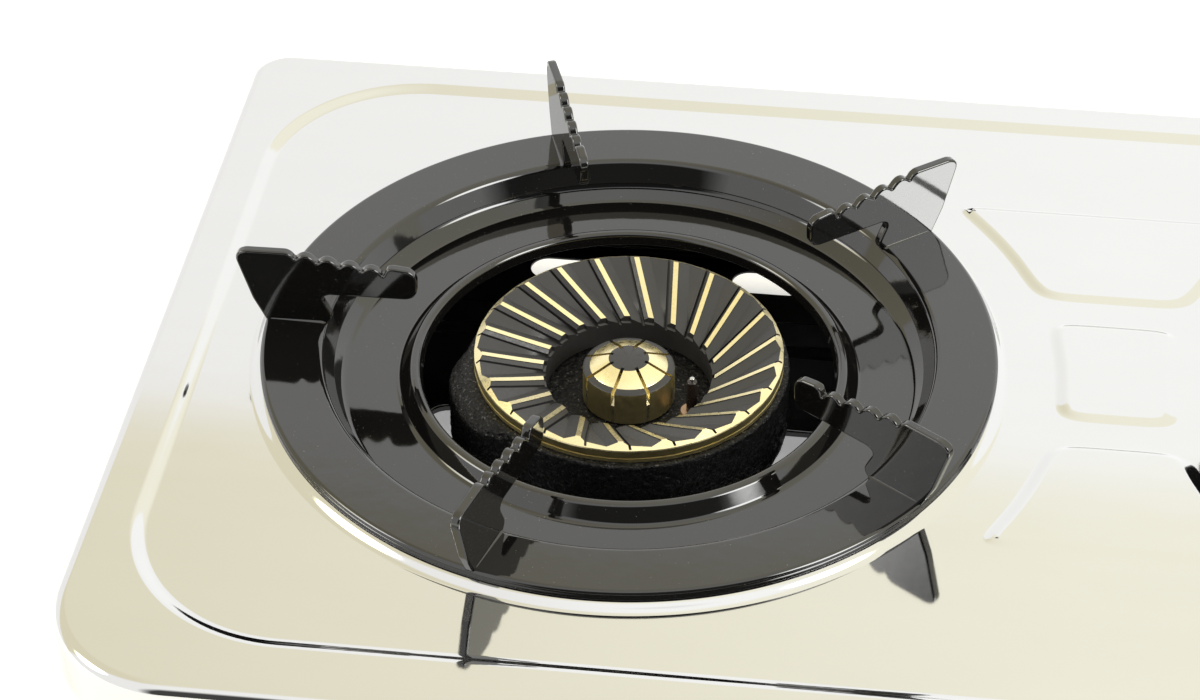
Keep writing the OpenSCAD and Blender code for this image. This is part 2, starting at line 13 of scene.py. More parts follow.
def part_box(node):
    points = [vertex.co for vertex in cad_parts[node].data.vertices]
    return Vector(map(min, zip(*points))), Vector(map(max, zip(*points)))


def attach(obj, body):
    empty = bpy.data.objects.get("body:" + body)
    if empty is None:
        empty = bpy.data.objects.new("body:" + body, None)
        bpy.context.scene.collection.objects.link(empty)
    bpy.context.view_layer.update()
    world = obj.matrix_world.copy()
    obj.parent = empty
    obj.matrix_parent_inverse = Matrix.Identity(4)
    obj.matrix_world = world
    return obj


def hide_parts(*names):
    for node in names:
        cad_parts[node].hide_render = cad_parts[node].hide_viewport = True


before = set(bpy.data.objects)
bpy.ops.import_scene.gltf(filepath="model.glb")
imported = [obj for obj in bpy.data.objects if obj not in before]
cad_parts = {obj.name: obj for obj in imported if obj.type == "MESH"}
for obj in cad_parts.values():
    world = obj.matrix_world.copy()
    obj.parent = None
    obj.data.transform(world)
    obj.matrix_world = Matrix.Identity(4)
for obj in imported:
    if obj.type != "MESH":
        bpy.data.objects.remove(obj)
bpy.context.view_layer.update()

MM = 0.001
SIDES = (("left", -1), ("right", 1))
LATHE_STEPS = 192


def node_box(node):
    """Lowest and highest corner of a CAD node, in millimetres."""
    low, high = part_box(node)
    return np.array(low) / MM, np.array(high) / MM


def node_centre(node):
    low, high = node_box(node)
    return (low + high) / 2


# ---------- places that come from the frame ----------

plate_low, plate_high = node_box("top_plate")
ring_low, ring_high = node_box("trivet_ring_left")
cap_low, cap_high = node_box("outer_cap_left")

HALF_W = plate_high[0]
PLATE_FRONT = plate_low[1]
PLATE_BACK = plate_high[1]
BURNER_X = -(ring_low[0] + ring_high[0]) / 2
BURNER_Y = (ring_low[1] + ring_high[1]) / 2
RING_Z = ring_high[2]
RING_R = (ring_high[0] - ring_low[0]) / 2
CAP_R = (cap_high[0] - cap_low[0]) / 2
KNOB_Z = node_centre("knob_left")[2]
FOOT_H = node_box("foot_front_left")[1][2]

BORDER_Z = RING_Z - 5
DECK_Z = RING_Z - 6.5
COLLAR_Z = RING_Z - 4
SHEET = 1.0


# ---------- outlines and sections ----------

def unit_rows(v):
    return v / np.linalg.norm(v, axis=-1, keepdims=True)


def loop_normals(points):
    """Outward unit normals of a closed loop of points that runs anticlockwise."""
    along = np.roll(points, -1, 0) - np.roll(points, 1, 0)
    return unit_rows(np.stack([along[:, 1], -along[:, 0]], 1))


def circle_loop(steps=LATHE_STEPS, start=0.0):
    """Centre point and outward directions of a circle: its offset is the radius."""
    angle = start + 2 * np.pi * np.arange(steps) / steps
    return np.zeros((steps, 2)), np.stack([np.cos(angle), np.sin(angle)], 1)


def arc(x, y, r, start, sweep, steps):
    """Points of an arc round (x, y), its angles in degrees."""
    angle = np.radians(start + sweep * np.arange(steps + 1) / steps)
    return list(np.column_stack([x + r * np.cos(angle), y + r * np.sin(angle)]))


def rounded_outline(inset_side, inset_front, inset_back, r_front, r_back, arc_steps=28, gap=14.0):
    """Anticlockwise outline of the stove, drawn in from the plate's edge."""
    x = HALF_W - inset_side
    y0 = PLATE_FRONT + inset_front
    y1 = PLATE_BACK - inset_back
    corners = [(x, y0, r_front, -90), (x, y1, r_back, 0), (-x, y1, r_back, 90), (-x, y0, r_front, 180)]
    points = []
    for cx, cy, r, start in corners:
        middle = cy - math.copysign(r, cy - (y0 + y1) / 2)
        points += arc(cx - math.copysign(r, cx), middle, r, start, 90, arc_steps)
    return fill_gaps(np.array(points), gap)


def fill_gaps(points, gap):
    """Adds points on a closed loop's straight stretches that are longer than gap."""
    result = []
    for a, b in zip(points, np.roll(points, -1, 0)):
        parts = max(1, int(math.ceil(np.linalg.norm(b - a) / gap)))
        result += [a + (b - a) * k / parts for k in range(parts)]
    return np.array(result)


def open_stretch(loop, keep):
    """The kept part of a closed loop from end to end: points and outward directions."""
    out = loop_normals(loop)
    start = np.where(keep & ~np.roll(keep, 1))[0][0]
    order = [(start + k) % len(loop) for k in range(int(keep.sum()))]
    return loop[order], out[order]


def resample(points, step):
    """The closed loop again, with points at an even spacing."""
    closed = np.vstack([points, points[:1]])
    length = np.concatenate([[0], np.cumsum(np.linalg.norm(np.diff(closed, axis=0), axis=1))])
    count = int(length[-1] / step)
    at = np.arange(count) * length[-1] / count
    return np.stack([np.interp(at, length, closed[:, k]) for k in range(2)], 1)


def soften(points, step, sigma):
    """Resamples a closed loop and rounds its corners over about sigma millimetres."""
    loop = resample(points, step)
    reach = int(3 * sigma / step) + 1
    weights = np.exp(-0.5 * (np.arange(-reach, reach + 1) * step / sigma) ** 2)
    weights /= weights.sum()
    return sum(w * np.roll(loop, k - reach, 0) for k, w in enumerate(weights))


def section(points, closed=True, arc_deg=9.0):
    """Rows of a section with rounded corners: offset, height and the normal on the right-hand side.

    Each point is (offset, height, corner radius). Straight stretches keep their exact normals.
    """
    p = np.array([q[:2] for q in points], float)
    radii = [q[2] for q in points]
    n = len(p)
    rows = []
    for i in range(n):
        if not closed and i in (0, n - 1):
            a, b = (p[0], p[1]) if i == 0 else (p[n - 2], p[n - 1])
            t = (b - a) / np.linalg.norm(b - a)
            rows.append((p[i][0], p[i][1], t[1], -t[0]))
            continue
        before = p[i] - p[(i - 1) % n]
        after = p[(i + 1) % n] - p[i]
        len_a = np.linalg.norm(before)
        len_b = np.linalg.norm(after)
        ta = before / len_a
        tb = after / len_b
        turn = math.atan2(ta[0] * tb[1] - ta[1] * tb[0], float(ta @ tb))
        if abs(turn) < 0.003:
            rows.append((p[i][0], p[i][1], ta[1], -ta[0]))
            continue
        back = min(radii[i] * abs(math.tan(turn / 2)), 0.48 * len_a, 0.48 * len_b)
        r = back / abs(math.tan(turn / 2))
        start = p[i] - ta * back
        left = np.array([-ta[1], ta[0]]) * math.copysign(1, turn)
        centre = start + left * r
        steps = max(2, int(math.ceil(abs(math.degrees(turn)) / arc_deg)))
        for k in range(steps + 1):
            a = turn * k / steps
            ca, sa = math.cos(a), math.sin(a)
            arm = start - centre
            q = centre + np.array([ca * arm[0] - sa * arm[1], sa * arm[0] + ca * arm[1]])
            t = np.array([ca * ta[0] - sa * ta[1], sa * ta[0] + ca * ta[1]])
            rows.append((q[0], q[1], t[1], -t[0]))
    return np.array(rows)


def slope_rows(offset_a, z_a, offset_b, z_b, steps=10):
    """Rows of an S-shaped slope between two level stretches."""
    t = np.linspace(0, 1, steps + 1)
    rise = (1 - np.cos(np.pi * t)) / 2
    steep = np.pi / 2 * np.sin(np.pi * t)
    da = np.full_like(t, offset_b - offset_a)
    dz = (z_b - z_a) * steep
    size = np.hypot(da, dz)
    return np.stack([offset_a + da * t, z_a + (z_b - z_a) * rise, dz / size, -da / size], 1)


def turned_over(rows):
    """The same section run the other way, so that its faces look the other way."""
    return rows[::-1] * np.array([1, 1, -1, -1])


# ---------- a mesh under construction ----------

def grid_faces(rows, columns, wrap_rows=False, wrap_columns=True):
    """Quads of a grid of vertices that are stored row by row."""
    faces = []
    for j in range(rows if wrap_rows else rows - 1):
        a = j * columns
        b = (j + 1) % rows * columns
        for i in range(columns if wrap_columns else columns - 1):
            h = (i + 1) % columns
            faces.append((a + i, a + h, b + h, b + i))
    return faces


def up_normals(verts):
    return np.tile([0, 0, 1.0], (len(verts), 1))


class Build:
    """Collects vertices with their normals and faces with a material number."""

    def __init__(self):
        self.verts = []
        self.normals = []
        self.faces = []
        self.slots = []
        self.count = 0

    def add(self, verts, normals, faces, slot=0):
        verts = np.asarray(verts, float)
        self.verts.append(verts)
        self.normals.append(np.asarray(normals, float))
        self.faces += [tuple(int(i) + self.count for i in f) for f in faces]
        self.slots += list(slot) if hasattr(slot, "__len__") else [slot] * len(faces)
        self.count += len(verts)

    def skin(self, loop, rows, closed=False, slot=0, ring=True):
        """Sweeps section rows along a loop of (points, outward directions), or a path if not ring."""
        points, outward = loop
        n = len(points)
        verts = []
        normals = []
        for a, z, na, nz in rows:
            verts.append(np.column_stack([points + outward * a, np.full(n, z)]))
            normals.append(np.column_stack([outward * na, np.full(n, nz)]))
        faces = grid_faces(len(rows), n, closed, ring)
        self.add(np.vstack(verts), np.vstack(normals), faces, slot)

    def flat(self, loops, z, up=1, holes=(), slot=0):
        """Fills the level region inside the first loop and outside the others."""
        chains = [np.asarray(c)[:, :2] for c in [*loops, *holes]]
        points = [Vector(q) for c in chains for q in c]
        edges = []
        first = 0
        for c in chains:
            n = len(c)
            edges += [(first + i, first + (i + 1) % n) for i in range(n)]
            first += n
        found = geometry.delaunay_2d_cdt(points, edges, [], 0, 1e-5)
        pts = np.array([tuple(v) for v in found[0]])
        tris = np.array([tuple(f) for f in found[2]])
        mid = pts[tris].mean(1)
        keep = inside(mid, chains[0])
        for c in chains[1:]:
            keep &= ~inside(mid, c)
        tris = tris[keep]
        verts = np.column_stack([pts, np.full(len(pts), z)])
        a, b, c = (pts[tris[:, k]] for k in range(3))
        area = (b[:, 0] - a[:, 0]) * (c[:, 1] - a[:, 1]) - (b[:, 1] - a[:, 1]) * (c[:, 0] - a[:, 0])
        tris = np.where(((area > 0) == (up > 0))[:, None], tris, tris[:, ::-1])
        self.add(verts, np.tile([0, 0, up], (len(verts), 1)), tris, slot)

    def merged(self):
        """Vertices, normals and faces with coincident vertices joined."""
        verts = np.vstack(self.verts)
        normals = np.vstack(self.normals)
        key = np.round(verts * 1000).astype(np.int64)
        _, first, where = np.unique(key, axis=0, return_index=True, return_inverse=True)
        where = where.reshape(-1)
        faces = []
        slots = []
        for f, s in zip(self.faces, self.slots):
            g = [where[i] for i in f]
            g = [v for i, v in enumerate(g) if v != g[i - 1]]
            if len(g) > 2 and len(set(g)) == len(g):
                faces.append(tuple(g))
                slots.append(s)
        return verts[first], normals[first], faces, slots

    def thickened(self, thickness):
        """Gives an open sheet a back face and closes its free edges."""
        verts, normals, faces, slots = self.merged()
        n = len(verts)
        seen = {}
        for f in faces:
            for i, v in enumerate(f):
                seen[(f[i - 1], v)] = True
        rims = [e for e in seen if (e[1], e[0]) not in seen]
        both = Build()
        both.verts = [verts, verts - normals * thickness]
        both.normals = [normals, -normals]
        both.faces = faces + [tuple(v + n for v in f[::-1]) for f in faces]
        both.slots = slots * 2
        both.faces += [(a, a + n, b + n, b) for a, b in rims]
        both.slots += [0] * len(rims)
        both.count = 2 * n
        both.rims = len(rims)
        return both


def inside(points, loop):
    """Which points lie inside a closed loop."""
    x, y = points[:, 0], points[:, 1]
    result = np.zeros(len(points), bool)
    a = loop
    b = np.roll(loop, -1, 0)
    for (ax, ay), (bx, by) in zip(a, b):
        cross = (ay > y) != (by > y)
        with np.errstate(divide="ignore", invalid="ignore"):
            at = (bx - ax) * (y - ay) / (by - ay) + ax
        result ^= cross & (x < at)
    return result


def piece(name, build, materials, body, replaces=(), shift=(0, 0, 0), exact=True, sharp=35.0):
    """Turns a build into a Blender object that rides on a CAD body."""
    if hasattr(build, "rims"):
        verts = np.vstack(build.verts)
        normals = np.vstack(build.normals)
        faces = build.faces
        slots = build.slots
    else:
        verts, normals, faces, slots = build.merged()
    mesh = bpy.data.meshes.new(name)
    mesh.from_pydata((verts + np.array(shift)) * MM, [], faces)
    for m in materials:
        mesh.materials.append(m)
    mesh.polygons.foreach_set("material_index", np.array(slots, np.int32))
    mesh.polygons.foreach_set("use_smooth", np.ones(len(faces), bool))
    mesh.update()
    if exact:
        own = np.array([normals[v] for f in faces for v in f])
        if hasattr(build, "rims") and build.rims:
            loops = sum(len(f) for f in faces[-build.rims:])
            flat = np.array([mesh.polygons[i].normal[:] for i in range(len(faces) - build.rims, len(faces))])
            own[-loops:] = np.repeat(flat, 4, 0)
        mesh.normals_split_custom_set(own.tolist())
    else:
        mesh.set_sharp_from_angle(angle=math.radians(sharp))
    obj = bpy.data.objects.new(name, mesh)
    bpy.context.scene.collection.objects.link(obj)
    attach(obj, body)
    if replaces:
        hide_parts(*replaces)


# ---------- materials ----------

def new_material(name):
    material = bpy.data.materials.new(name)
    material.use_nodes = True
    tree = material.node_tree
    return material, tree, tree.nodes["Principled BSDF"]


def wire(tree, kind, inputs=None, **settings):
    """A node with its settings, whose inputs are numbers, colours or other nodes' outputs."""
    node = tree.nodes.new(kind)
    for key, value in settings.items():
        setattr(node, key, value)
    for key, value in (inputs or {}).items():
        if isinstance(value, bpy.types.NodeSocket):
            tree.links.new(value, node.inputs[key])
        else:
            node.inputs[key].default_value = value
    return node


def grain(tree, scale, detail=3.0, stretch=(1, 1, 1), rough=0.5):
    """Noise in the object's own space, in cycles for each metre."""
    place_node = wire(tree, "ShaderNodeTexCoord")
    mapping = wire(tree, "ShaderNodeMapping", {"Vector": place_node.outputs["Object"], "Scale": stretch})
    return wire(tree, "ShaderNodeTexNoise", {
        "Vector": mapping.outputs["Vector"], "Scale": scale, "Detail": detail, "Roughness": rough
    }).outputs["Fac"]


def ramp(tree, value, stops):
    node = wire(tree, "ShaderNodeValToRGB", {"Fac": value})
    points = node.color_ramp.elements
    while len(points) < len(stops):
        points.new(0.5)
    for point, (at, colour) in zip(points, stops):
        point.position = at
        point.color = (*colour, 1)
    return node.outputs["Color"]


def spread(tree, value, low, high, from_low=0.3, from_high=0.7):
    return wire(tree, "ShaderNodeMapRange", {
        "Value": value, "From Min": from_low, "From Max": from_high, "To Min": low, "To Max": high
    }).outputs["Result"]


def bump(tree, shader, height, distance, strength=1.0):
    node = wire(tree, "ShaderNodeBump", {"Height": height, "Distance": distance, "Strength": strength})
    tree.links.new(node.outputs["Normal"], shader.inputs["Normal"])


def blend_colour(tree, factor, a, b):
    node = wire(tree, "ShaderNodeMix", {"Factor": factor}, data_type="RGBA")
    node.inputs[6].default_value = (*a, 1)
    node.inputs[7].default_value = (*b, 1)
    return node.outputs[2]


def metal(name, colour_a, colour_b, rough_low, rough_high, scale=60.0, stretch=(1, 1, 1), depth=0.0,
          depth_scale=900.0):
    """A bare metal with a slow change of tone and of polish, and optional fine scratches."""
    material, tree, shader = new_material(name)
    shader.inputs["Metallic"].default_value = 1.0
    cloud = grain(tree, scale, 4.0, stretch)
    tree.links.new(blend_colour(tree, cloud, colour_a, colour_b), shader.inputs["Base Color"])
    polish = grain(tree, scale * 3, 5.0, stretch)
    tree.links.new(spread(tree, polish, rough_low, rough_high), shader.inputs["Roughness"])
    if depth:
        bump(tree, shader, grain(tree, depth_scale, 2.0, stretch), depth)
    return material


def enamel(name, rough=0.045, base=(0.0045, 0.0043, 0.0040)):
    """Black vitreous enamel: glassy, with faint orange peel, dust specks and fine wipe marks."""
    material, tree, shader = new_material(name)
    shader.inputs["IOR"].default_value = 1.68
    dust = grain(tree, 1500.0, 1.0)
    patches = grain(tree, 22.0, 3.0)
    amount = wire(tree, "ShaderNodeMath", {0: dust, 1: spread(tree, patches, -0.03, 0.03)}, operation="ADD")
    speck = ramp(tree, amount.outputs[0], [(0.76, (0, 0, 0)), (0.80, (1, 1, 1))])
    colour = blend_colour(tree, 0.0, base, (0.12, 0.115, 0.10))
    tree.links.new(speck, colour.node.inputs["Factor"])
    tree.links.new(colour, shader.inputs["Base Color"])
    smear = grain(tree, 35.0, 6.0, (1, 2.4, 1))
    tree.links.new(spread(tree, smear, rough * 0.8, rough * 1.7), shader.inputs["Roughness"])
    bump(tree, shader, grain(tree, 130.0, 2.0), 0.00002)
    return material


def plain(name, colour_a, colour_b, rough_low, rough_high, scale=400.0, depth=0.00002):
    """Moulded, cast or glazed material with a fine grain."""
    material, tree, shader = new_material(name)
    cloud = grain(tree, scale / 8, 3.0)
    tree.links.new(blend_colour(tree, cloud, colour_a, colour_b), shader.inputs["Base Color"])
    fine = grain(tree, scale, 4.0)
    tree.links.new(spread(tree, fine, rough_low, rough_high), shader.inputs["Roughness"])
    bump(tree, shader, fine, depth)
    return material


def sand_cast(name):
    """Rough black casting: coarse sand grains under heat-proof paint, a few of which glint."""
    material, tree, shader = new_material(name)
    coarse = grain(tree, 520.0, 4.0, rough=0.6)
    fleck = grain(tree, 900.0, 2.0)
    tree.links.new(
        ramp(tree, coarse, [(0.35, (0.003, 0.003, 0.003)), (0.80, (0.011, 0.0105, 0.011))]),
        shader.inputs["Base Color"])
    tree.links.new(spread(tree, fleck, 0.15, 1.0, 0.60, 0.70), shader.inputs["Specular IOR Level"])
    tree.links.new(spread(tree, grain(tree, 700.0, 3.0), 0.20, 0.42), shader.inputs["Roughness"])
    bump(tree, shader, coarse, 0.0011)
    return material


STEEL = metal("polished_steel", (0.575, 0.575, 0.57), (0.60, 0.60, 0.595), 0.035, 0.075, 14.0,
              (1, 3, 1), 0.0000015, 2600.0)
ZINC = metal("zinc_plate", (0.42, 0.43, 0.45), (0.55, 0.56, 0.57), 0.28, 0.42, 90.0, (1, 1, 1), 0.00001)
BRASS = metal("turned_brass", (0.66, 0.55, 0.25), (0.74, 0.63, 0.31), 0.34, 0.46, 120.0,
              (1, 1, 5), 0.000006, 2200.0)
# Cut brass for the upward brass faces: smoother than turned brass (real), and paler in colour, which is a
# painted highlight for the light these faces catch.
HIGHLIGHT_PALE_BRASS = metal("cut_brass", (0.74, 0.65, 0.37), (0.82, 0.73, 0.45), 0.24, 0.36, 260.0,
                   (1, 1, 1), 0.00001, 2600.0)
VALVE_ALLOY = metal("cast_alloy", (0.38, 0.35, 0.29), (0.48, 0.45, 0.38), 0.40, 0.55, 150.0,
                    (1, 1, 1), 0.00004, 700.0)
DARK_GLAZE = plain("dark_glaze", (0.010, 0.007, 0.006), (0.024, 0.015, 0.011), 0.16, 0.30, 400.0)
PALE_STEEL = metal("ground_steel_tip", (0.45, 0.45, 0.44), (0.55, 0.55, 0.54), 0.2, 0.32, 500.0)
ALUMINIUM = metal("drawn_aluminium", (0.62, 0.62, 0.63), (0.72, 0.72, 0.72), 0.22, 0.34, 40.0,
                  (6, 1, 1), 0.000005)
CHROME = metal("bright_chrome", (0.58, 0.58, 0.59), (0.62, 0.62, 0.63), 0.03, 0.06, 60.0)
ENAMEL = enamel("black_enamel")
PAN_ENAMEL = enamel("black_pan_enamel", 0.07)
CAP_PAINT = plain("cap_paint", (0.016, 0.0155, 0.0155), (0.026, 0.025, 0.0245), 0.38, 0.50, 900.0, 0.000015)
CASTING = sand_cast("sand_cast_iron")
CERAMIC = plain("glazed_ceramic", (0.45, 0.25, 0.12), (0.58, 0.36, 0.20), 0.18, 0.3, 500.0)
LEAD_RED = plain("lead_silicone", (0.35, 0.03, 0.02), (0.45, 0.05, 0.03), 0.45, 0.6, 600.0)
SPARK_WHITE = plain("spark_unit_plastic", (0.62, 0.61, 0.56), (0.72, 0.71, 0.66), 0.35, 0.5, 500.0)
KNOB_BLACK = plain("knob_phenolic", (0.010, 0.010, 0.011), (0.016, 0.016, 0.017), 0.20, 0.34, 700.0, 0.00001)
KNOB_MARK = plain("knob_mark_white", (0.70, 0.70, 0.68), (0.80, 0.80, 0.78), 0.35, 0.45, 500.0)
RUBBER = plain("foot_rubber", (0.014, 0.014, 0.014), (0.028, 0.028, 0.028), 0.6, 0.8, 800.0, 0.00003)
SCREW_CREAM = metal("passivated_screw", (0.60, 0.57, 0.48), (0.70, 0.67, 0.58), 0.25, 0.38, 300.0)

NODE_LOOKS = {
    "gas_manifold": ALUMINIUM, "pipe_stands": ZINC, "burner_bracket": ZINC, "bracket_screws": ZINC,
    "spark_lead": LEAD_RED, "piezo_unit": SPARK_WHITE, "valve_body": VALVE_ALLOY, "valve_plug": BRASS,
    "gas_jets": BRASS, "spindle": ZINC, "return_spring": ZINC, "main_air_shutter": ZINC,
    "inner_air_shutter": ZINC, "back_panel": ZINC, "foot_screws": ZINC, "spark_ceramic": CERAMIC,
}


def dress_cad_nodes():
    """Gives each CAD node that stays visible its procedural material."""
    for name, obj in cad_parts.items():
        look = NODE_LOOKS.get(name.replace("_left", "").replace("_right", ""))
        if look is None:
            continue
        obj.data.materials.clear()
        obj.data.materials.append(look)


# ---------- top plate ----------

EDGE_R = 7.0
TRAY_SIDE = 17.2
TRAY_BACK = 16.0
TRAY_FRONT = 23.0
TRAY_R = 62.0
BEAD_W = 6.0
SKIRT_H = 22.0
PANEL_CLEAR_R = 155.8
PANEL_TOP = 105.9
PANEL_DEPTH = 57.2
PANEL_PITCH = 69.7
PANEL_SLOPE = 4.0
PANEL_RISE = 1.0
PANEL_END_SLOPE = 5.5
PANEL_CORNER = 7.5
HOLE_R = 129.5


def panel_loop(index):
    """Outline of a middle panel: straight long edges, ends cut concentric with the burners."""
    top = BURNER_Y + PANEL_TOP - index * PANEL_PITCH
    bottom = top - PANEL_DEPTH

    def end(y):
        return BURNER_X - math.sqrt(PANEL_CLEAR_R ** 2 - (y - BURNER_Y) ** 2)

    ys = np.linspace(bottom, top, 40)
    right = [(end(y), y) for y in ys]
    left = [(-end(y), y) for y in ys[::-1]]
    return soften(np.array(right + left), 1.2, PANEL_CORNER)


def panel_crest(loop):
    """Where a panel's slope ends: further in at its curved ends than along its straight edges."""
    out = loop_normals(loop)
    width = PANEL_SLOPE + (PANEL_END_SLOPE - PANEL_SLOPE) * np.clip((np.abs(out[:, 0]) - 0.2) / 0.5, 0, 1)
    reach = np.ones(9) / 9
    width = sum(w * np.roll(width, k - 4) for k, w in enumerate(reach))
    return loop - out * width[:, None]


def add_panel_slope(sheet, loop, crest, steps=10):
    """The S-shaped slope between a panel's outline and its crest."""
    n = len(loop)
    span = loop - crest
    width = np.linalg.norm(span, axis=1)
    side = span / width[:, None]
    verts = []
    normals = []
    for k in range(steps + 1):
        t = k / steps
        rise = (1 - math.cos(math.pi * t)) / 2
        steep = PANEL_RISE * math.pi / 2 * math.sin(math.pi * t) / width
        verts.append(np.column_stack([loop - span * t, np.full(n, DECK_Z + PANEL_RISE * rise)]))
        normals.append(unit_rows(np.column_stack([side * steep[:, None], np.ones(n)])))
    sheet.add(np.vstack(verts), np.vstack(normals), grid_faces(steps + 1, n))


def make_top_plate():
    sheet = Build()
    outline = rounded_outline(0, 0, 0, 46, 16)
    edge = (outline, loop_normals(outline))
    hem_z = BORDER_Z - SKIRT_H
    skirt = section([(0, hem_z + 2, 0), (0, BORDER_Z, EDGE_R), (-EDGE_R - 3, BORDER_Z, 0)], False, 6.0)
    hem = section([(-2.5, hem_z, 0), (0, hem_z, 1.8), (0, hem_z + 2, 0)], False)
    sheet.skin(edge, hem)
    sheet.skin(edge, skirt)
    tray_points = rounded_outline(TRAY_SIDE, TRAY_FRONT, TRAY_BACK, TRAY_R, TRAY_R)
    tray = (tray_points, loop_normals(tray_points))
    sheet.skin(tray, slope_rows(0, BORDER_Z, -BEAD_W, DECK_Z, 12))
    sheet.flat([edge[0] - edge[1] * (EDGE_R + 3)], BORDER_Z, holes=[tray_points])
    holes = []
    for _, side in SIDES:
        shift = np.array([side * BURNER_X, BURNER_Y])
        points, outward = circle_loop(240)
        ring = (points + shift, outward)
        sheet.skin(ring, collar_rows())
        holes.append(ring[0] + outward * COLLAR_FOOT_R)
    for index in range(3):
        loop = panel_loop(index)
        crest = panel_crest(loop)
        add_panel_slope(sheet, loop, crest)
        sheet.flat([crest], DECK_Z + PANEL_RISE)
        holes.append(loop)
    sheet.flat([tray_points - tray[1] * BEAD_W], DECK_Z, holes=holes)
    piece("steel_top_plate", sheet.thickened(SHEET * 0.8), [STEEL], "stove", ["top_plate"])


COLLAR_FOOT_R = RING_R + 4.3
COLLAR_TOP_R = RING_R - 0.6


def collar_rows():
    """The seat round a burner opening: up a short slope, level, and down at the hole's lip."""
    slope = slope_rows(COLLAR_FOOT_R, DECK_Z, COLLAR_TOP_R, COLLAR_Z, 12)
    lip = section([(COLLAR_TOP_R, COLLAR_Z, 0), (HOLE_R, COLLAR_Z, 1.2), (HOLE_R, COLLAR_Z - 2.4, 0)], False)
    return np.vstack([slope, lip[1:]])


# ---------- casing ----------

def wall_rows(top):
    """A casing wall from its turned-in lower edge up."""
    return section([(-7, FOOT_H, 0), (0, FOOT_H, 2.5), (0, top, 0)], False)


def make_front_panel():
    """Fascia that wraps the front corners, with a rolled lower edge and holes for the spindles."""
    loop = rounded_outline(3, 7, 3, 43, 13, 24, 8.0)
    points, outward = open_stretch(loop, loop[:, 1] < node_box("front_panel")[1][1] + 0.5)
    length = np.concatenate([[0], np.cumsum(np.linalg.norm(np.diff(points, axis=0), axis=1))])
    low = FOOT_H + 2.5
    top = BORDER_Z - 1.2
    build = Build()
    build.skin((points, outward), wall_rows(low), ring=False)
    box_loop = [(s, low) for s in length] + [(s, top) for s in length[::-1]]
    holes = []
    middle = length[-1] / 2
    for _, side in SIDES:
        _, ring = circle_loop(48)
        holes.append(ring * 7 + np.array([middle + side * BURNER_X, KNOB_Z]))
    flat = Build()
    flat.flat([np.array(box_loop)], 0.0, holes=holes)
    uv, _, faces, _ = flat.merged()
    at = uv[:, 0]
    x = np.interp(at, length, points[:, 0])
    y = np.interp(at, length, points[:, 1])
    nx = np.interp(at, length, outward[:, 0])
    ny = np.interp(at, length, outward[:, 1])
    normals = unit_rows(np.stack([nx, ny, np.zeros_like(nx)], 1))
    build.add(np.stack([x, y, uv[:, 1]], 1), normals, faces)
    piece("steel_front_panel", build.thickened(SHEET * 0.8), [STEEL], "stove", ["front_panel"])


def make_side_panel(name, side):
    low, high = node_box(f"side_panel_{name}")
    loop = rounded_outline(3.2, 7.2, 3.2, 42.8, 12.8, 24, 8.0)
    keep = (loop[:, 1] > low[1] - 0.5) & (loop[:, 0] * side > min(abs(low[0]), abs(high[0])) - 0.5)
    build = Build()
    build.skin(open_stretch(loop, keep), wall_rows(BORDER_Z - 1.2), ring=False)
    piece(f"steel_side_panel_{name}", build.thickened(SHEET * 0.8), [STEEL], "stove",
          [f"side_panel_{name}"])


MOUTH_HALF_W = 88.0
MOUTH_FRONT = -62.0
MOUTH_BACK = 62.0


def stadium(cx, cy, half_l, r, steps=14):
    reach = half_l - r
    return np.array(arc(cx + reach, cy, r, -90, 180, steps) + arc(cx - reach, cy, r, 90, 180, steps))


def box_loop(x0, x1, y0, y1, r, gap=12.0, steps=6):
    points = []
    corners = ((x1 - r, y0 + r, -90), (x1 - r, y1 - r, 0), (x0 + r, y1 - r, 90), (x0 + r, y0 + r, 180))
    for cx, cy, start in corners:
        points += arc(cx, cy, r, start, 90, steps)
    return fill_gaps(np.array(points), gap)


def make_base_pan():
    """Pressed pan with a rolled rim, air openings with turned edges and a stiffening rib."""
    floor = FOOT_H + 1.0
    rib_z = floor + 3.0
    outline = rounded_outline(4.2, 8.2, 4.2, 41.8, 11.8, 20)
    out = loop_normals(outline)
    build = Build()
    rim = section([(0, floor + 11, 0), (0, floor, 3.0), (-5, floor, 0)], False)
    build.skin((outline, out), turned_over(rim))
    holes = []
    for _, side in SIDES:
        centre = np.array([side * BURNER_X, BURNER_Y])
        mouth = box_loop(-MOUTH_HALF_W, MOUTH_HALF_W, MOUTH_FRONT, MOUTH_BACK, 9) + centre
        cuts = [(mouth, 3.0)] + [(stadium(x, 158, 16, 7.5) + centre, 1.2) for x in (-43.5, 43.5)]
        for loop, turn in cuts:
            n = loop_normals(loop)
            build.skin((loop, n), section([(turn, floor, 0), (0, floor, turn), (0, floor - turn, 0)], False))
            holes.append(loop + n * turn)
        rib = box_loop(-125, 125, 108, 132, 7) + centre
        n = loop_normals(rib)
        build.skin((rib, n), slope_rows(0, floor, -5.0, rib_z, 8))
        build.flat([rib - n * 5.0], rib_z)
        holes.append(rib)
    build.flat([outline - out * 5], floor, holes=holes)
    piece("enamelled_base_pan", build.thickened(SHEET * 0.9), [PAN_ENAMEL], "stove", ["base_pan"])


# ---------- pot support ----------

def lathe(profile, materials, name, body, replaces=(), shift=(0, 0, 0), steps=LATHE_STEPS):
    build = Build()
    build.skin(circle_loop(steps), section(profile), closed=True)
    piece(name, build, materials, body, replaces, shift)


RING_PROFILE = [
    (133.4, -3.7, 0.3), (RING_R, -3.7, 0.5), (RING_R, 0, 1.8), (112.6, -0.4, 3.0), (108, -8.4, 0.7),
    (109.6, -8.6, 0.7), (113.2, -1.9, 1.0), (133.4, -1.8, 0.6)
]


def make_ring(name, shift):
    profile = [(r, RING_Z + z, c) for r, z, c in RING_PROFILE]
    lathe(profile, [ENAMEL], f"enamel_ring_{name}", f"trivet_{name}", [f"trivet_ring_{name}"],
          shift, 288)


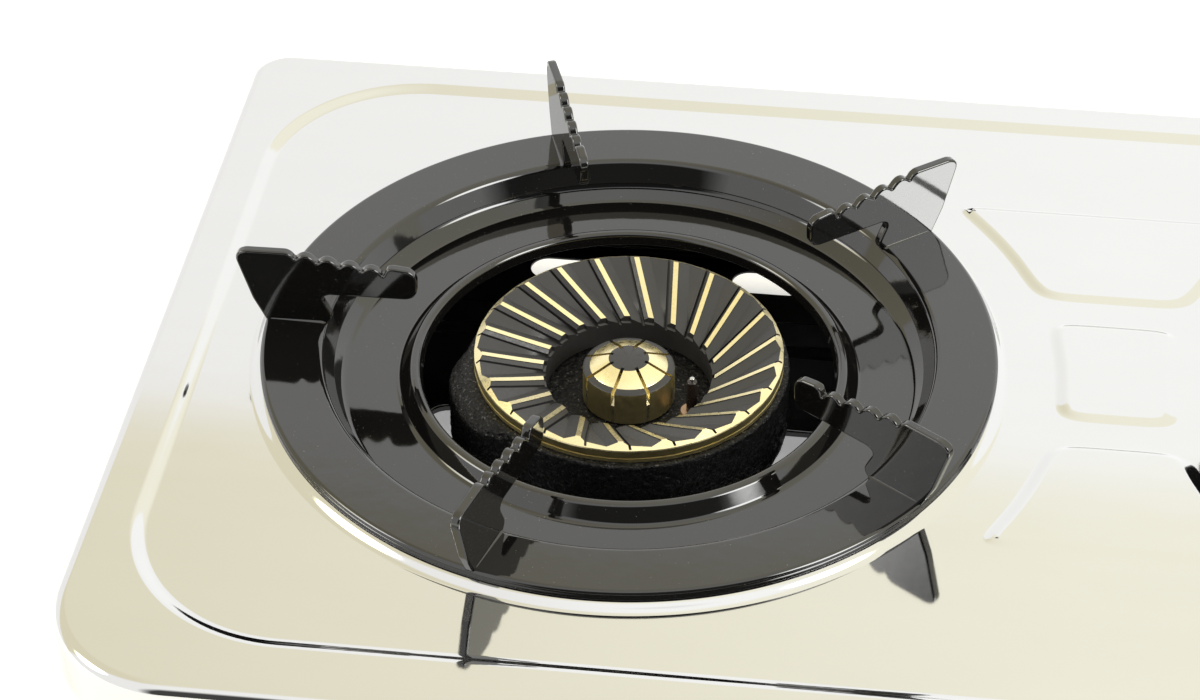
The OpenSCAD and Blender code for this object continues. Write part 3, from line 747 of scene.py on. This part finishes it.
def prong_outline():
    """A prong from the side: distance from the burner axis and height over the ring."""
    crest_at = 122.2
    pitch = 8.05
    drop = 0.165
    bite = 2.8
    peak = 30.3
    bumps = []
    for i in range(4 * 10 + 1):
        r = crest_at - i * pitch / 10
        lift = abs(math.sin(math.pi * i / 10)) ** 0.8
        bumps.append((r, peak - drop * (crest_at - r) - bite * (1 - lift)))
    outer = [(134.2, -2.2), (139.2, 8.8), (144.1, 26.2), (144, 28.2), (142.8, 29.7), (140.5, 30.6),
             (125.5, 30.6), (123.6, 29.6)]
    inner = [(88.5, 25.6), (86.5, 26), (80.5, 25.2), (78.3, 23.4), (77.6, 20.8), (77.9, 15.4), (79.4, 13.1),
             (82, 12.2), (110.5, 12.2), (112.7, 11.2), (113, 9.5), (109.8, 2.4), (110.2, 0.6), (112.4, -2.2)]
    return soften(np.array(outer + bumps + inner), 0.45, 0.55)


PRONG_T = 3.6
PRONG_ROUND = 1.7
FIRST_PRONG = 37.0
PRONGS = 5


def make_prongs(name, shift):
    """Five enamelled prongs with full round edges and a weld bead along each foot."""
    outline = prong_outline()
    out = loop_normals(outline)
    half = PRONG_T / 2
    rows = section([(-PRONG_ROUND - 0.15, -half, 0), (0, -half, PRONG_ROUND), (0, half, PRONG_ROUND),
                    (-PRONG_ROUND - 0.15, half, 0)], False, 15.0)
    solid = Build()
    solid.skin((outline, out), rows)
    inner = outline - out * (PRONG_ROUND + 0.15)
    solid.flat([inner], half, 1)
    solid.flat([inner], -half, -1)
    bead = weld_bead(half)
    local, normals, faces, _ = solid.merged()
    whole = Build()
    for k in range(PRONGS):
        a = math.radians(FIRST_PRONG + k * 360 / PRONGS)
        radial = np.array([math.cos(a), math.sin(a), 0])
        across = np.array([math.sin(a), -math.cos(a), 0])
        turn = np.stack([radial, [0, 0, 1], across])
        for v, n, f in ((local, normals, faces), bead):
            whole.add(v @ turn + [0, 0, RING_Z], n @ turn, f)
    piece(f"enamel_prongs_{name}", whole, [ENAMEL], f"trivet_{name}",
          [f"trivet_prongs_{name}"], shift)


def weld_bead(half):
    """A low rounded mound along a prong's foot, in the prong's own (r, z, across) space."""
    reach = 1.9
    rise = 1.9
    rs = np.linspace(112.4, 134.3, 30)
    build = Build()
    fan = np.linspace(0, 1, 9)
    verts = []
    normals = []
    for r in rs:
        ends = min(1.0, (r - 111.2) / 2.5, (135.2 - r) / 2.5)
        for side in (1, -1):
            for t in (fan if side == 1 else fan[::-1]):
                across = half - 0.4 + (reach * ends) * t ** 1.6
                z = rise * ends * (1 - t) ** 1.8 - 0.6
                verts.append((r, z, side * across))
                slope = np.array([0.0, 1.0, side * 1.2 * (1 - t) + side * 0.15])
                normals.append(slope / np.linalg.norm(slope))
    m = 2 * len(fan)
    faces = grid_faces(len(rs), m)
    faces.append(tuple(range(m))[::-1])
    faces.append(tuple((len(rs) - 1) * m + j for j in range(m)))
    build.add(verts, normals, faces)
    return build.merged()[:3]


PAN_PROFILE = [
    (131.3, 0.2, 0.3), (132.5, 0.2, 0.4), (132.5, 2.1, 1.0), (114.6, 2.1, 2.6), (110.8, -7.4, 3.4),
    (105.4, -11.4, 4.0), (84.8, -11.9, 2.6), (80.4, -6.2, 2.2), (77.2, -6.1, 2.2), (76.0, -10.8, 0.5),
    (77.2, -10.9, 0.4), (78.1, -7.6, 1.2), (79.7, -7.7, 1.2), (84.0, -13.3, 2.4), (105.9, -12.8, 4.2),
    (111.9, -8.2, 3.2), (115.4, 0.9, 1.2), (131.3, 0.9, 0.4)
]


def make_drip_pan(name, shift):
    profile = [(r, COLLAR_Z + z, c) for r, z, c in PAN_PROFILE]
    lathe(profile, [ENAMEL], f"enamel_drip_pan_{name}", f"pan_{name}", [f"drip_pan_{name}"],
          shift, 288)


# ---------- burner caps ----------

TEETH = 22
TOOTH = 2 * math.pi / TEETH
LINE_OFFSET = 16.2
RIDGE_W = 1.9
CHAMFER_W = 1.3
SLIT_W = 0.9
SLOPE_W = 4.2
SLIT_DEEP = 3.0
VALLEY = 2.2
CAP_PHASE = math.radians(109.65)
CAP_TOP = RING_Z - 3.8
CAP_EDGE = RING_Z - 5.8
EYE_R = 31.0
RIDGE_FROM_R = 31.9
RIDGE_FROM_Z = RING_Z - 15.1
CREST_R = 54.0
DISH_SLOPE = (CAP_TOP - RIDGE_FROM_Z) / (CREST_R - RIDGE_FROM_R)
RIM_SLOPE = (CAP_TOP - CAP_EDGE) / (CAP_R - CREST_R)


def line_angle(tooth, shift, r):
    """Angle at radius r of a line that passes LINE_OFFSET from the centre, moved sideways."""
    return CAP_PHASE + tooth * TOOTH - math.asin(min(0.95, (LINE_OFFSET - shift) / r))


# A tooth's columns, anticlockwise: line number, sideways place, drop below the ridges' tops.
SLIT_AT = RIDGE_W + CHAMFER_W
TOOTH_COLUMNS = [
    (0, 0.0, 0.0), (0, RIDGE_W, 0.0), (0, RIDGE_W + 0.03, 0.35), (0, SLIT_AT, 1.3),
    (0, SLIT_AT + 0.03, SLIT_DEEP), (0, SLIT_AT + SLIT_W, SLIT_DEEP), (0, SLIT_AT + SLIT_W + 0.03, 1.5),
    (1, -SLOPE_W, VALLEY), (1, -0.03, 0.35)
]
VALLEY_COLUMN = 7


def column_place(tooth, column, r):
    """Angle of a tooth's column at radius r; near the eye the valley runs into the slit."""
    line, shift, _ = TOOTH_COLUMNS[column]
    angle = line_angle(tooth + line, shift, r)
    if column == VALLEY_COLUMN:
        angle = max(angle, line_angle(tooth, SLIT_AT + SLIT_W + 0.1, r))
    return angle


def make_outer_cap(name, shift):
    """Brass ring cap: ridges, slits and sloping painted facets that wind round the dish."""
    side = [(CAP_R, 0.3), (CAP_R, 3.0), (CAP_R - 0.35, 3.12), (CAP_R - 0.35, 3.38), (CAP_R, 3.5), (CAP_R, 5.0),
            (54.1, 5.1), (54.1, 9.2), (52.3, 9.2), (52.3, 4.0)]
    under = [(33.0, RIDGE_FROM_Z - 3.4), (33.0, RING_Z - 27), (EYE_R, RING_Z - 27),
             (EYE_R, RIDGE_FROM_Z - 3.6)]
    verts = []
    rows = []

    def add_row(kind, place_column):
        rows.append(kind)
        for tooth in range(TEETH):
            for column in range(len(TOOTH_COLUMNS)):
                r, z = place_column(column)
                a = column_place(tooth, column, r)
                verts.append((r * math.cos(a), r * math.sin(a), z))

    def crest(column):
        return CREST_R + TOOTH_COLUMNS[column][2] / (DISH_SLOPE + RIM_SLOPE)

    def dish_z(r, drop):
        return RIDGE_FROM_Z + (r - RIDGE_FROM_R) * DISH_SLOPE - drop

    for r in (EYE_R, RIDGE_FROM_R - 0.1):
        add_row("inner", lambda c: (r, dish_z(r, max(TOOTH_COLUMNS[c][2], 2.3 if c < 4 else 0.35))))
    for t in np.linspace(0, 1, 15):
        add_row("dish", lambda c: (
            RIDGE_FROM_R + (crest(c) - RIDGE_FROM_R) * t,
            dish_z(RIDGE_FROM_R + (crest(c) - RIDGE_FROM_R) * t, TOOTH_COLUMNS[c][2])))
    for t in (0.5, 1.0):
        add_row("rim", lambda c: (
            crest(c) + (CAP_R - 0.2 - crest(c)) * t,
            CAP_TOP - (crest(c) + (CAP_R - 0.2 - crest(c)) * t - CREST_R) * RIM_SLOPE))
    for r, drop in side:
        add_row("side", lambda c: (r, CAP_EDGE - drop))
    for r, z in under:
        add_row("under", lambda c: (r, z))
    n = len(TOOTH_COLUMNS) * TEETH
    m = len(rows)
    faces = [f[::-1] for f in grid_faces(m, n, True)]
    slots = [cap_slot(rows[j], rows[(j + 1) % m], i % len(TOOTH_COLUMNS)) for j in range(m) for i in range(n)]
    build = Build()
    build.add(verts, up_normals(verts), faces, slots)
    # Slot 0, the bare brass ridges and rim on top, takes the paler brass: a painted highlight.
    piece(f"swirl_cap_{name}", build, [HIGHLIGHT_PALE_BRASS, CAP_PAINT, BRASS], f"outer_burner_cap_{name}",
          [f"outer_cap_{name}"], shift, exact=False, sharp=24.0)


def cap_slot(row, following, column):
    """0 bare cut brass on top, its paler colour a painted highlight, 1 dark paint, 2 turned brass on the outer
    side.
    """
    if row == "side" and following == "side":
        return 2
    if row == "rim" or following == "rim":
        return 0
    if row == "dish" and following == "dish":
        return 0 if column == 0 else 1
    return 1


INNER_SLOTS = 8
INNER_SLOT_TURN = math.radians(31)
INNER_SLOT_HALF = 0.6


def make_inner_cap(name, shift):
    """Small brass cap: dark disc, polished cone, dark band and radial slots over its edge."""
    skirt = [(17.1, -22.0), (17.1, -27.2), (16.8, -27.6), (15.4, -27.6), (15.4, -23.9), (0.0, -23.9)]
    solid = [(0.0, -9.6), (6.9, -9.6), (7.5, -9.75), (7.7, -9.8), (14.3, -12.7), (14.5, -12.9),
             (14.9, -12.95), (16.4, -13.3), (17.0, -13.8), (17.1, -14.6), (17.1, -18.5), *skirt]
    cut = [(0.0, -9.6), (6.2, -9.6), (6.6, -12.0), (7.4, -14.2), (12.0, -15.2), (13.0, -15.5), (14.0, -15.8),
           (14.8, -16.1), (15.2, -16.4), (16.2, -17.9), (17.1, -19.3), *skirt]
    per = 10
    verts = []
    m = len(solid)
    for j in range(m):
        for k in range(INNER_SLOTS):
            base = INNER_SLOT_TURN + 2 * math.pi * k / INNER_SLOTS
            for c in range(per + 4):
                in_cut = c in (1, 2)
                r, z = cut[j] if in_cut else solid[j]
                half = math.asin(min(0.6, INNER_SLOT_HALF / max(r, 2.0)))
                if c < 4:
                    a = base + (-half - 0.02 / max(r, 2), -half, half, half + 0.02 / max(r, 2))[c]
                else:
                    span = 2 * math.pi / INNER_SLOTS - 2 * half
                    a = base + half + span * (c - 3) / (per + 1)
                verts.append((r * math.cos(a), r * math.sin(a), RING_Z + z))
    n = INNER_SLOTS * (per + 4)
    faces = []
    slots = []
    for j in range(m - 1):
        for i in range(n):
            h = (i + 1) % n
            faces.append((j * n + i, (j + 1) * n + i, (j + 1) * n + h, j * n + h))
            column = i % (per + 4)
            dark = j < 2 or (5 <= j < 8 and column > 2)
            # Slot 2, the cone, the slot walls and the slot ends, takes the paler brass: a painted highlight.
            slots.append(1 if dark else (2 if j < 5 or column < 3 else 0))
    build = Build()
    build.add(verts, up_normals(verts), faces, slots)
    piece(f"centre_cap_{name}", build, [BRASS, CAP_PAINT, HIGHLIGHT_PALE_BRASS], f"inner_burner_cap_{name}",
          [f"inner_cap_{name}"], shift, exact=False, sharp=30.0)


# ---------- burner casting ----------

def rough_push(p, amount, scale):
    """Sand-cast unevenness at a point, in millimetres."""
    q = Vector(p) / scale
    return amount * (noise.noise(q) + 0.6 * noise.noise(q * 2.3 + Vector((7, 3, 1))))


def bulge(angle):
    """Extra radius of the casting where its gas passage runs outside, at the left front."""
    away = (math.degrees(angle) - 203 + 180) % 360 - 180
    return 7.5 * math.exp(-(away / 24.0) ** 4)


def make_casting(name, shift):
    """Head with its gas trough, sleeve and hub, and the two mixing tubes under it."""
    head_rows = section([
        (9.2, 62.8, 0.8), (56, 62.8, 4), (59.4, 69, 4), (59.4, 95.8, 1.2), (54.4, 95.9, 0.8), (54.6, 66.2, 1.5),
        (36.3, 66.2, 1.5), (36.2, 83.8, 0.8), (33.4, 83.8, 0.8), (33.2, 79.2, 1.2), (15.2, 79, 1.0),
        (14.9, 82.7, 0.8), (9.2, 82.7, 0.6)
    ], True, 12.0)
    rows = []
    for j, row in enumerate(head_rows):
        nxt = head_rows[(j + 1) % len(head_rows)]
        parts = max(1, int(math.hypot(nxt[0] - row[0], nxt[1] - row[1]) / 1.1))
        rows += [row + (nxt - row) * k / parts for k in range(parts)]
    steps = 340
    build = Build()
    _, out = circle_loop(steps)
    verts = []
    for a, z, na, nz in rows:
        for i in range(steps):
            angle = 2 * math.pi * i / steps
            radius = a
            if a > 55.5:
                fade = min(1.0, (a - 55.5) / 3.4) * min(1.0, max(0.0, (97 - z) / 5))
                radius += bulge(angle) * fade
            p = (out[i][0] * radius, out[i][1] * radius, z)
            k = rough_push(p, 0.34, 1.5) if a > 12 else 0.0
            verts.append((p[0] + out[i][0] * na * k, p[1] + out[i][1] * na * k, z + nz * k))
    build.add(verts, up_normals(verts), grid_faces(len(rows), steps, True))
    add_tube(build, 20, 12.5, 9.5, -31.5)
    add_tube(build, -20, 8.5, 5.5, 4)
    add_bar(build, (-20, 0, KNOB_Z), (6, 0, KNOB_Z), 8.4)
    add_bar(build, (20, -42, KNOB_Z - 9), (20, -42, 65.5), 10.6)
    add_bar(build, (0, 0, 48.5), (0, 0, 64.5), 14.9)
    piece(f"iron_casting_{name}", build, [CASTING], "stove", [f"burner_body_{name}"], shift,
          exact=False, sharp=50.0)


def add_turned(build, profile, origin, axis, steps=48, up=(0, 0, 1)):
    """Adds a closed turned solid whose axis runs along axis from origin."""
    part = Build()
    part.skin(circle_loop(steps), section(profile), closed=True)
    verts, normals, faces, _ = part.merged()
    add_placed(build, verts, normals, faces, origin, axis, up)


def add_placed(build, verts, normals, faces, origin, axis, up=(0, 0, 1)):
    w = np.array(axis, float)
    w /= np.linalg.norm(w)
    guide = np.array(up, float) if abs(w @ np.array(up, float)) < 0.9 else np.array([1.0, 0, 0])
    u = np.cross(guide, w)
    u /= np.linalg.norm(u)
    turn = np.stack([u, np.cross(w, u), w])
    build.add(verts @ turn + np.array(origin), normals @ turn, faces)


TUBE_MOUTH_Y = -120.0


def add_tube(build, x, r_out, r_in, end_y):
    """A mixing tube with a bell mouth, a boss for its shutter and an air passage."""
    length = end_y - TUBE_MOUTH_Y
    add_turned(build, [
        (4.2, -2.2, 0.3), (6.4, -2.2, 0.5), (6.4, 0, 0.3), (13.5, 0, 1.0), (13.5, 11, 2.5), (r_out, 17, 5),
        (r_out, length, 2.5), (r_in, length, 1), (r_in, 15, 4), (10.8, 11, 2), (10.8, 3, 0.6), (4.2, 3, 0.4)
    ], (x, TUBE_MOUTH_Y, KNOB_Z), (0, 1, 0))


def add_bar(build, start, end, r):
    axis = np.array(end, float) - np.array(start, float)
    length = np.linalg.norm(axis)
    add_turned(build, [(0.02, 0, 0.01), (r, 0, 1.5), (r, length, 1.5), (0.02, length, 0.01)], start, axis)


def make_spark(name, shift):
    """Dark spark pin with a bright worn tip."""
    low, high = node_box(f"spark_pin_{name}")
    x, y, _ = (low + high) / 2
    top = high[2]
    stem = section([(0.01, low[2], 0.01), (1.95, low[2], 0.2), (1.95, top - 1.5, 0.6), (0.01, top - 1.5, 0.01)])
    tip = section([(0.01, top - 1.7, 0.01), (1.0, top - 1.7, 0.01), (1.0, top, 0.7), (0.01, top, 0.01)])
    pin = Build()
    pin.skin(circle_loop(32), stem, closed=True)
    pin.skin(circle_loop(24), tip, closed=True, slot=1)
    piece(f"spark_rod_{name}", pin, [DARK_GLAZE, PALE_STEEL], "stove",
          [f"spark_pin_{name}"], (x, y, 0), exact=False, sharp=60)


# ---------- fittings ----------

def make_foot(node):
    x, y, _ = node_centre(node)
    h = FOOT_H
    profile = [(6.2, 0, 0.8), (13.6, 0, 1.2), (14, h - 2, 2.2), (11.5, h - 1.2, 0.8), (11.5, h, 0.4),
               (2.0, h, 0.2), (2.0, h - 4, 0.2), (6.2, h - 4, 0.6)]
    lathe(profile, [RUBBER], f"{node}_pad", "stove", [node], (x, y, 0), 64)


def make_case_screws():
    """Pan-head screws with a cross recess that hold the plate at its sides."""
    head = cross_head(4.0, 2.5)
    shank = [(0.02, -6, 0.01), (1.6, -6, 0.2), (1.6, 0.4, 0.1), (0.02, 0.4, 0.01)]
    build = Build()
    for side in (-1, 1):
        for y in (128.0, -130.0):
            origin = (side * (HALF_W - 0.2), BURNER_Y + y, BORDER_Z - 11)
            add_placed(build, *head, origin, (side, 0, 0))
            add_turned(build, shank, origin, (side, 0, 0), 20)
    piece("cross_head_screws", build, [SCREW_CREAM], "stove", ["case_screws"],
          exact=False, sharp=40)


def cross_head(radius, height):
    """Domed head with a cross-shaped recess, along +Z from 0."""
    steps = 48
    _, out = circle_loop(steps, math.pi / 4)
    star = []
    for i in range(steps):
        a = abs(((i * 360 / steps) % 90) - 45)
        star.append(0.55 if a < 32 else 0.55 + (a - 32) / 13 * (radius * 0.55 - 0.55))
    star = np.array(star)
    rows = [(radius, 0.0), (radius, 0.5), (radius * 0.93, height * 0.55), (radius * 0.78, height * 0.83),
            (radius * 0.6, height * 0.97), (star + 0.1, height), (star, height - 0.15),
            (star * 0.8, height - 1.0), (0.05, height - 1.2)]
    verts, normals, faces = stacked_rings(out, rows)
    faces.append(tuple(range(steps))[::-1])
    faces.append(tuple((len(rows) - 1) * steps + i for i in range(steps)))
    return verts, normals, faces


def stacked_rings(out, rows, closed=False):
    """Mesh of rings given as (radius, height), where a radius may change round the axis."""
    verts = np.vstack([
        np.column_stack([out * np.reshape(r, (-1, 1)), np.full(len(out), z)]) for r, z in rows])
    return verts, up_normals(verts), grid_faces(len(rows), len(out), closed)


def make_nipple():
    """Brass bulkhead fitting: hexagon nut and a barbed spigot."""
    x, _, z = node_centre("hose_nipple")
    face = node_box("hose_nipple")[1][1] - 28
    barbs = []
    for k in range(4):
        y = 6.5 + k * 4.4
        barbs += [(4.05, y, 0.1), (4.75, y + 0.4, 0.15), (4.1, y + 4.2, 0.1)]
    profile = [(2.8, -8.5, 0.2), (6, -8.5, 0.4), (6, 0, 0.2), (6, 5, 0.4), (4.2, 5.2, 0.3), *barbs,
               (4.1, 27, 0.3), (3.6, 28, 0.4), (2.8, 28, 0.2)]
    build = Build()
    add_turned(build, profile, (x, face, z), (0, 1, 0), 56)
    add_placed(build, *hexagon(9.0, 5.0, 5.9), (x, face, z), (0, 1, 0))
    piece("brass_hose_spigot", build, [BRASS], "stove", ["hose_nipple"], exact=False, sharp=25)


def hexagon(radius, length, bore):
    """Hexagon nut with chamfered corners, along +Z from 0."""
    steps = 72
    _, out = circle_loop(steps)
    angle = np.arange(steps) * 360 / steps
    flat = radius * math.cos(math.radians(30)) / np.cos(np.radians((angle + 30) % 60 - 30))
    chamfer = np.minimum(flat, radius * 0.93)
    rows = [(bore, 0.0), (chamfer, 0.0), (flat, 0.8), (flat, length - 0.8), (chamfer, length), (bore, length)]
    return stacked_rings(out, rows, closed=True)


def make_bezel(name, shift):
    low, high = node_box(f"knob_bezel_{name}")
    t = high[1] - low[1]
    build = Build()
    add_turned(build, [(7.1, 0, 0.2), (27, 0, 0.3), (27, t * 0.55, 1.0), (24.6, t, 1.0), (20, t - 0.7, 1.0),
                       (7.1, t - 0.7, 0.2)], (shift[0], high[1], KNOB_Z), (0, -1, 0), 128)
    for k in range(13):
        turn = math.radians(-90 + k * 15)
        at = (shift[0] + 23.3 * math.sin(turn), high[1] - t + 0.55, KNOB_Z + 23.3 * math.cos(turn))
        size = 0.75 if k % 6 else 1.15
        add_turned(build, [(0.02, 0, 0.01), (size, 0, 0.1), (size * 0.7, 0.42, 0.2), (0.02, 0.45, 0.01)], at,
                   (0, -1, 0), 16)
    piece(f"chrome_bezel_{name}", build, [CHROME], "stove", [f"knob_bezel_{name}"], exact=False,
          sharp=25)


def make_knob(name, shift):
    """Phenolic knob: turned skirt, waisted grip bar with rounded edges, white pointer line."""
    low, high = node_box(f"knob_{name}")
    length = high[1] - low[1]
    r = (high[0] - low[0]) / 2
    build = Build()
    skirt = 8.0
    axis = (0, -1, 0)
    origin = (shift[0], high[1], KNOB_Z)
    add_turned(build, [(3.1, 0, 0.3), (r, 0, 0.6), (r, skirt - 3, 1.0), (r - 2.2, skirt, 1.4),
                       (14, skirt + 1.2, 3), (13, skirt + 5.5, 2), (3.1, skirt + 5.5, 0.5)], origin, axis, 128)
    add_placed(build, *grip_bar(r - 3, 6.0, skirt - 1, length), origin, axis)
    mark = Build()
    add_placed(mark, *grip_bar(5.2, 0.75, length - 0.6, length, 0.25),
               (shift[0], high[1], KNOB_Z + 12.6), axis)
    piece(f"phenolic_knob_{name}", build, [KNOB_BLACK], f"control_{name}",
          [f"knob_{name}"], exact=False, sharp=30)
    piece(f"knob_pointer_{name}", mark, [KNOB_MARK], f"control_{name}", exact=False)


def grip_bar(half_l, half_w, z0, z1, edge=1.6):
    """An upright bar, long along the second axis, waisted in plan, with rounded top edges."""
    steps = 96
    angle = 2 * np.pi * np.arange(steps) / steps
    c, s = np.cos(angle), np.sin(angle)
    x = np.sign(c) * np.abs(c) ** 0.32 * half_w
    y = np.sign(s) * np.abs(s) ** 0.62 * half_l
    reach = np.abs(y) / half_l
    x = x * (0.80 + 0.20 * reach ** 2) * np.sqrt(np.clip(1 - reach ** 8 * 0.5, 0, 1))
    loop = soften(np.stack([x, y], 1), min(0.5, half_w / 4), min(0.7, half_w / 3))
    out = loop_normals(loop)
    build = Build()
    rows = section([(0.0, z0, 0), (-0.25 * edge, z1, edge), (-edge - 0.3, z1, 0)], False, 15)
    build.skin((loop, out), rows)
    build.flat([loop - out * (edge + 0.3)], z1)
    build.flat([loop], z0, -1)
    return build.merged()[:3]


# ---------- light, floor and camera ----------

def lamp(tree, direction, azimuth, elevation, radius, strength):
    """A round soft light in the sky: its strength where the ray points at it, else 0."""
    a, e = math.radians(azimuth), math.radians(elevation)
    aim = (math.sin(a) * math.cos(e), math.cos(a) * math.cos(e), math.sin(e))
    dot = wire(tree, "ShaderNodeVectorMath", {0: direction, 1: aim}, operation="DOT_PRODUCT")
    near = dot.outputs["Value"]
    outer = math.cos(math.radians(radius * 1.25))
    core = math.cos(math.radians(radius * 0.75))
    return spread(tree, near, 0.0, strength, outer, core)


def make_world():
    """A white studio: warm ceiling, soft lamps to the left and right, a dark room behind the camera."""
    world = bpy.data.worlds.new("studio")
    bpy.context.scene.world = world
    world.use_nodes = True
    tree = world.node_tree
    direction = wire(tree, "ShaderNodeTexCoord").outputs["Generated"]
    parts = wire(tree, "ShaderNodeSeparateXYZ", {"Vector": direction})
    level = wire(tree, "ShaderNodeMath", {0: parts.outputs["Z"], 1: parts.outputs["Y"]}, operation="ARCTAN2")
    lift = level.outputs[0]
    side = spread(tree, parts.outputs["X"], 0.0, 1.0, -0.36, 0.08)
    white = blend_colour(tree, side, (1.38, 1.37, 1.35), (1.53, 1.53, 1.51))
    warm = blend_colour(tree, side, (1.14, 1.07, 0.80), (1.44, 1.40, 1.18))
    ceiling = spread(tree, lift, 0.0, 1.0, math.radians(40.8), math.radians(41.4))
    past = spread(tree, lift, 1.0, 0.0, math.radians(96), math.radians(108))
    amount = wire(tree, "ShaderNodeMath", {0: ceiling, 1: past}, operation="MULTIPLY").outputs[0]
    mix = wire(tree, "ShaderNodeMix", {"Factor": amount}, data_type="RGBA")
    tree.links.new(white, mix.inputs[6])
    tree.links.new(warm, mix.inputs[7])
    behind = (0.26, -0.93, 0.27)
    away = wire(tree, "ShaderNodeVectorMath", {0: direction, 1: behind}, operation="DOT_PRODUCT")
    room = spread(tree, away.outputs["Value"], 1.0, 0.06, math.cos(math.radians(44)), math.cos(math.radians(34)))
    right = lamp(tree, direction, 112, 38, 12, 8.0)
    left = lamp(tree, direction, -100, 34, 11, 6.0)
    lamps = wire(tree, "ShaderNodeMath", {0: right, 1: left}, operation="ADD").outputs[0]
    strength = wire(tree, "ShaderNodeMath", {0: room, 1: lamps}, operation="ADD").outputs[0]
    background = tree.nodes["Background"]
    tree.links.new(mix.outputs[2], background.inputs["Color"])
    tree.links.new(strength, background.inputs["Strength"])


def make_floor():
    material, tree, shader = new_material("pale_table")
    tree.links.new(
        blend_colour(tree, grain(tree, 3.0), (0.86, 0.86, 0.86), (0.89, 0.89, 0.89)),
        shader.inputs["Base Color"])
    shader.inputs["Roughness"].default_value = 0.6
    shader.inputs["Emission Color"].default_value = (1, 1, 1, 1)
    shader.inputs["Emission Strength"].default_value = 0.3
    bpy.ops.mesh.primitive_plane_add(size=30, location=(0, 0, -0.0005))
    floor = bpy.context.object
    floor.name = "pale_floor"
    floor.data.materials.append(material)


CAMERA_PLACE = (-90.05, -815.95, 770.5)
CAMERA_YAW = -6.409
CAMERA_PITCH = 39.046
CAMERA_ROLL = 0.214


def make_camera():
    data = bpy.data.cameras.new("photo_camera")
    data.lens = 86.53
    data.sensor_width = 36.0
    data.shift_x = -0.0146
    data.clip_end = 100
    camera = bpy.data.objects.new("photo_camera", data)
    bpy.context.scene.collection.objects.link(camera)
    yaw, pitch, roll = (math.radians(a) for a in (CAMERA_YAW, CAMERA_PITCH, CAMERA_ROLL))
    forward = Vector((math.sin(yaw) * math.cos(pitch), math.cos(yaw) * math.cos(pitch), -math.sin(pitch)))
    turn = forward.to_track_quat("-Z", "Y").to_matrix().to_4x4() @ Matrix.Rotation(roll, 4, "Z")
    camera.matrix_world = Matrix.Translation(Vector(CAMERA_PLACE) * MM) @ turn
    bpy.context.scene.camera = camera


# ---------- the whole object ----------

make_camera()
make_world()
make_floor()
dress_cad_nodes()
make_top_plate()
make_front_panel()
make_base_pan()
make_case_screws()
make_nipple()
for end in ("front", "back"):
    for side_name, _ in SIDES:
        make_foot(f"foot_{end}_{side_name}")
for side_name, side in SIDES:
    centre = (side * BURNER_X, BURNER_Y, 0)
    make_side_panel(side_name, side)
    make_ring(side_name, centre)
    make_prongs(side_name, centre)
    make_drip_pan(side_name, centre)
    make_outer_cap(side_name, centre)
    make_inner_cap(side_name, centre)
    make_casting(side_name, centre)
    make_spark(side_name, centre)
    make_bezel(side_name, centre)
    make_knob(side_name, centre)

bpy.context.scene.view_settings.view_transform = "Standard"
bpy.context.view_layer.update()
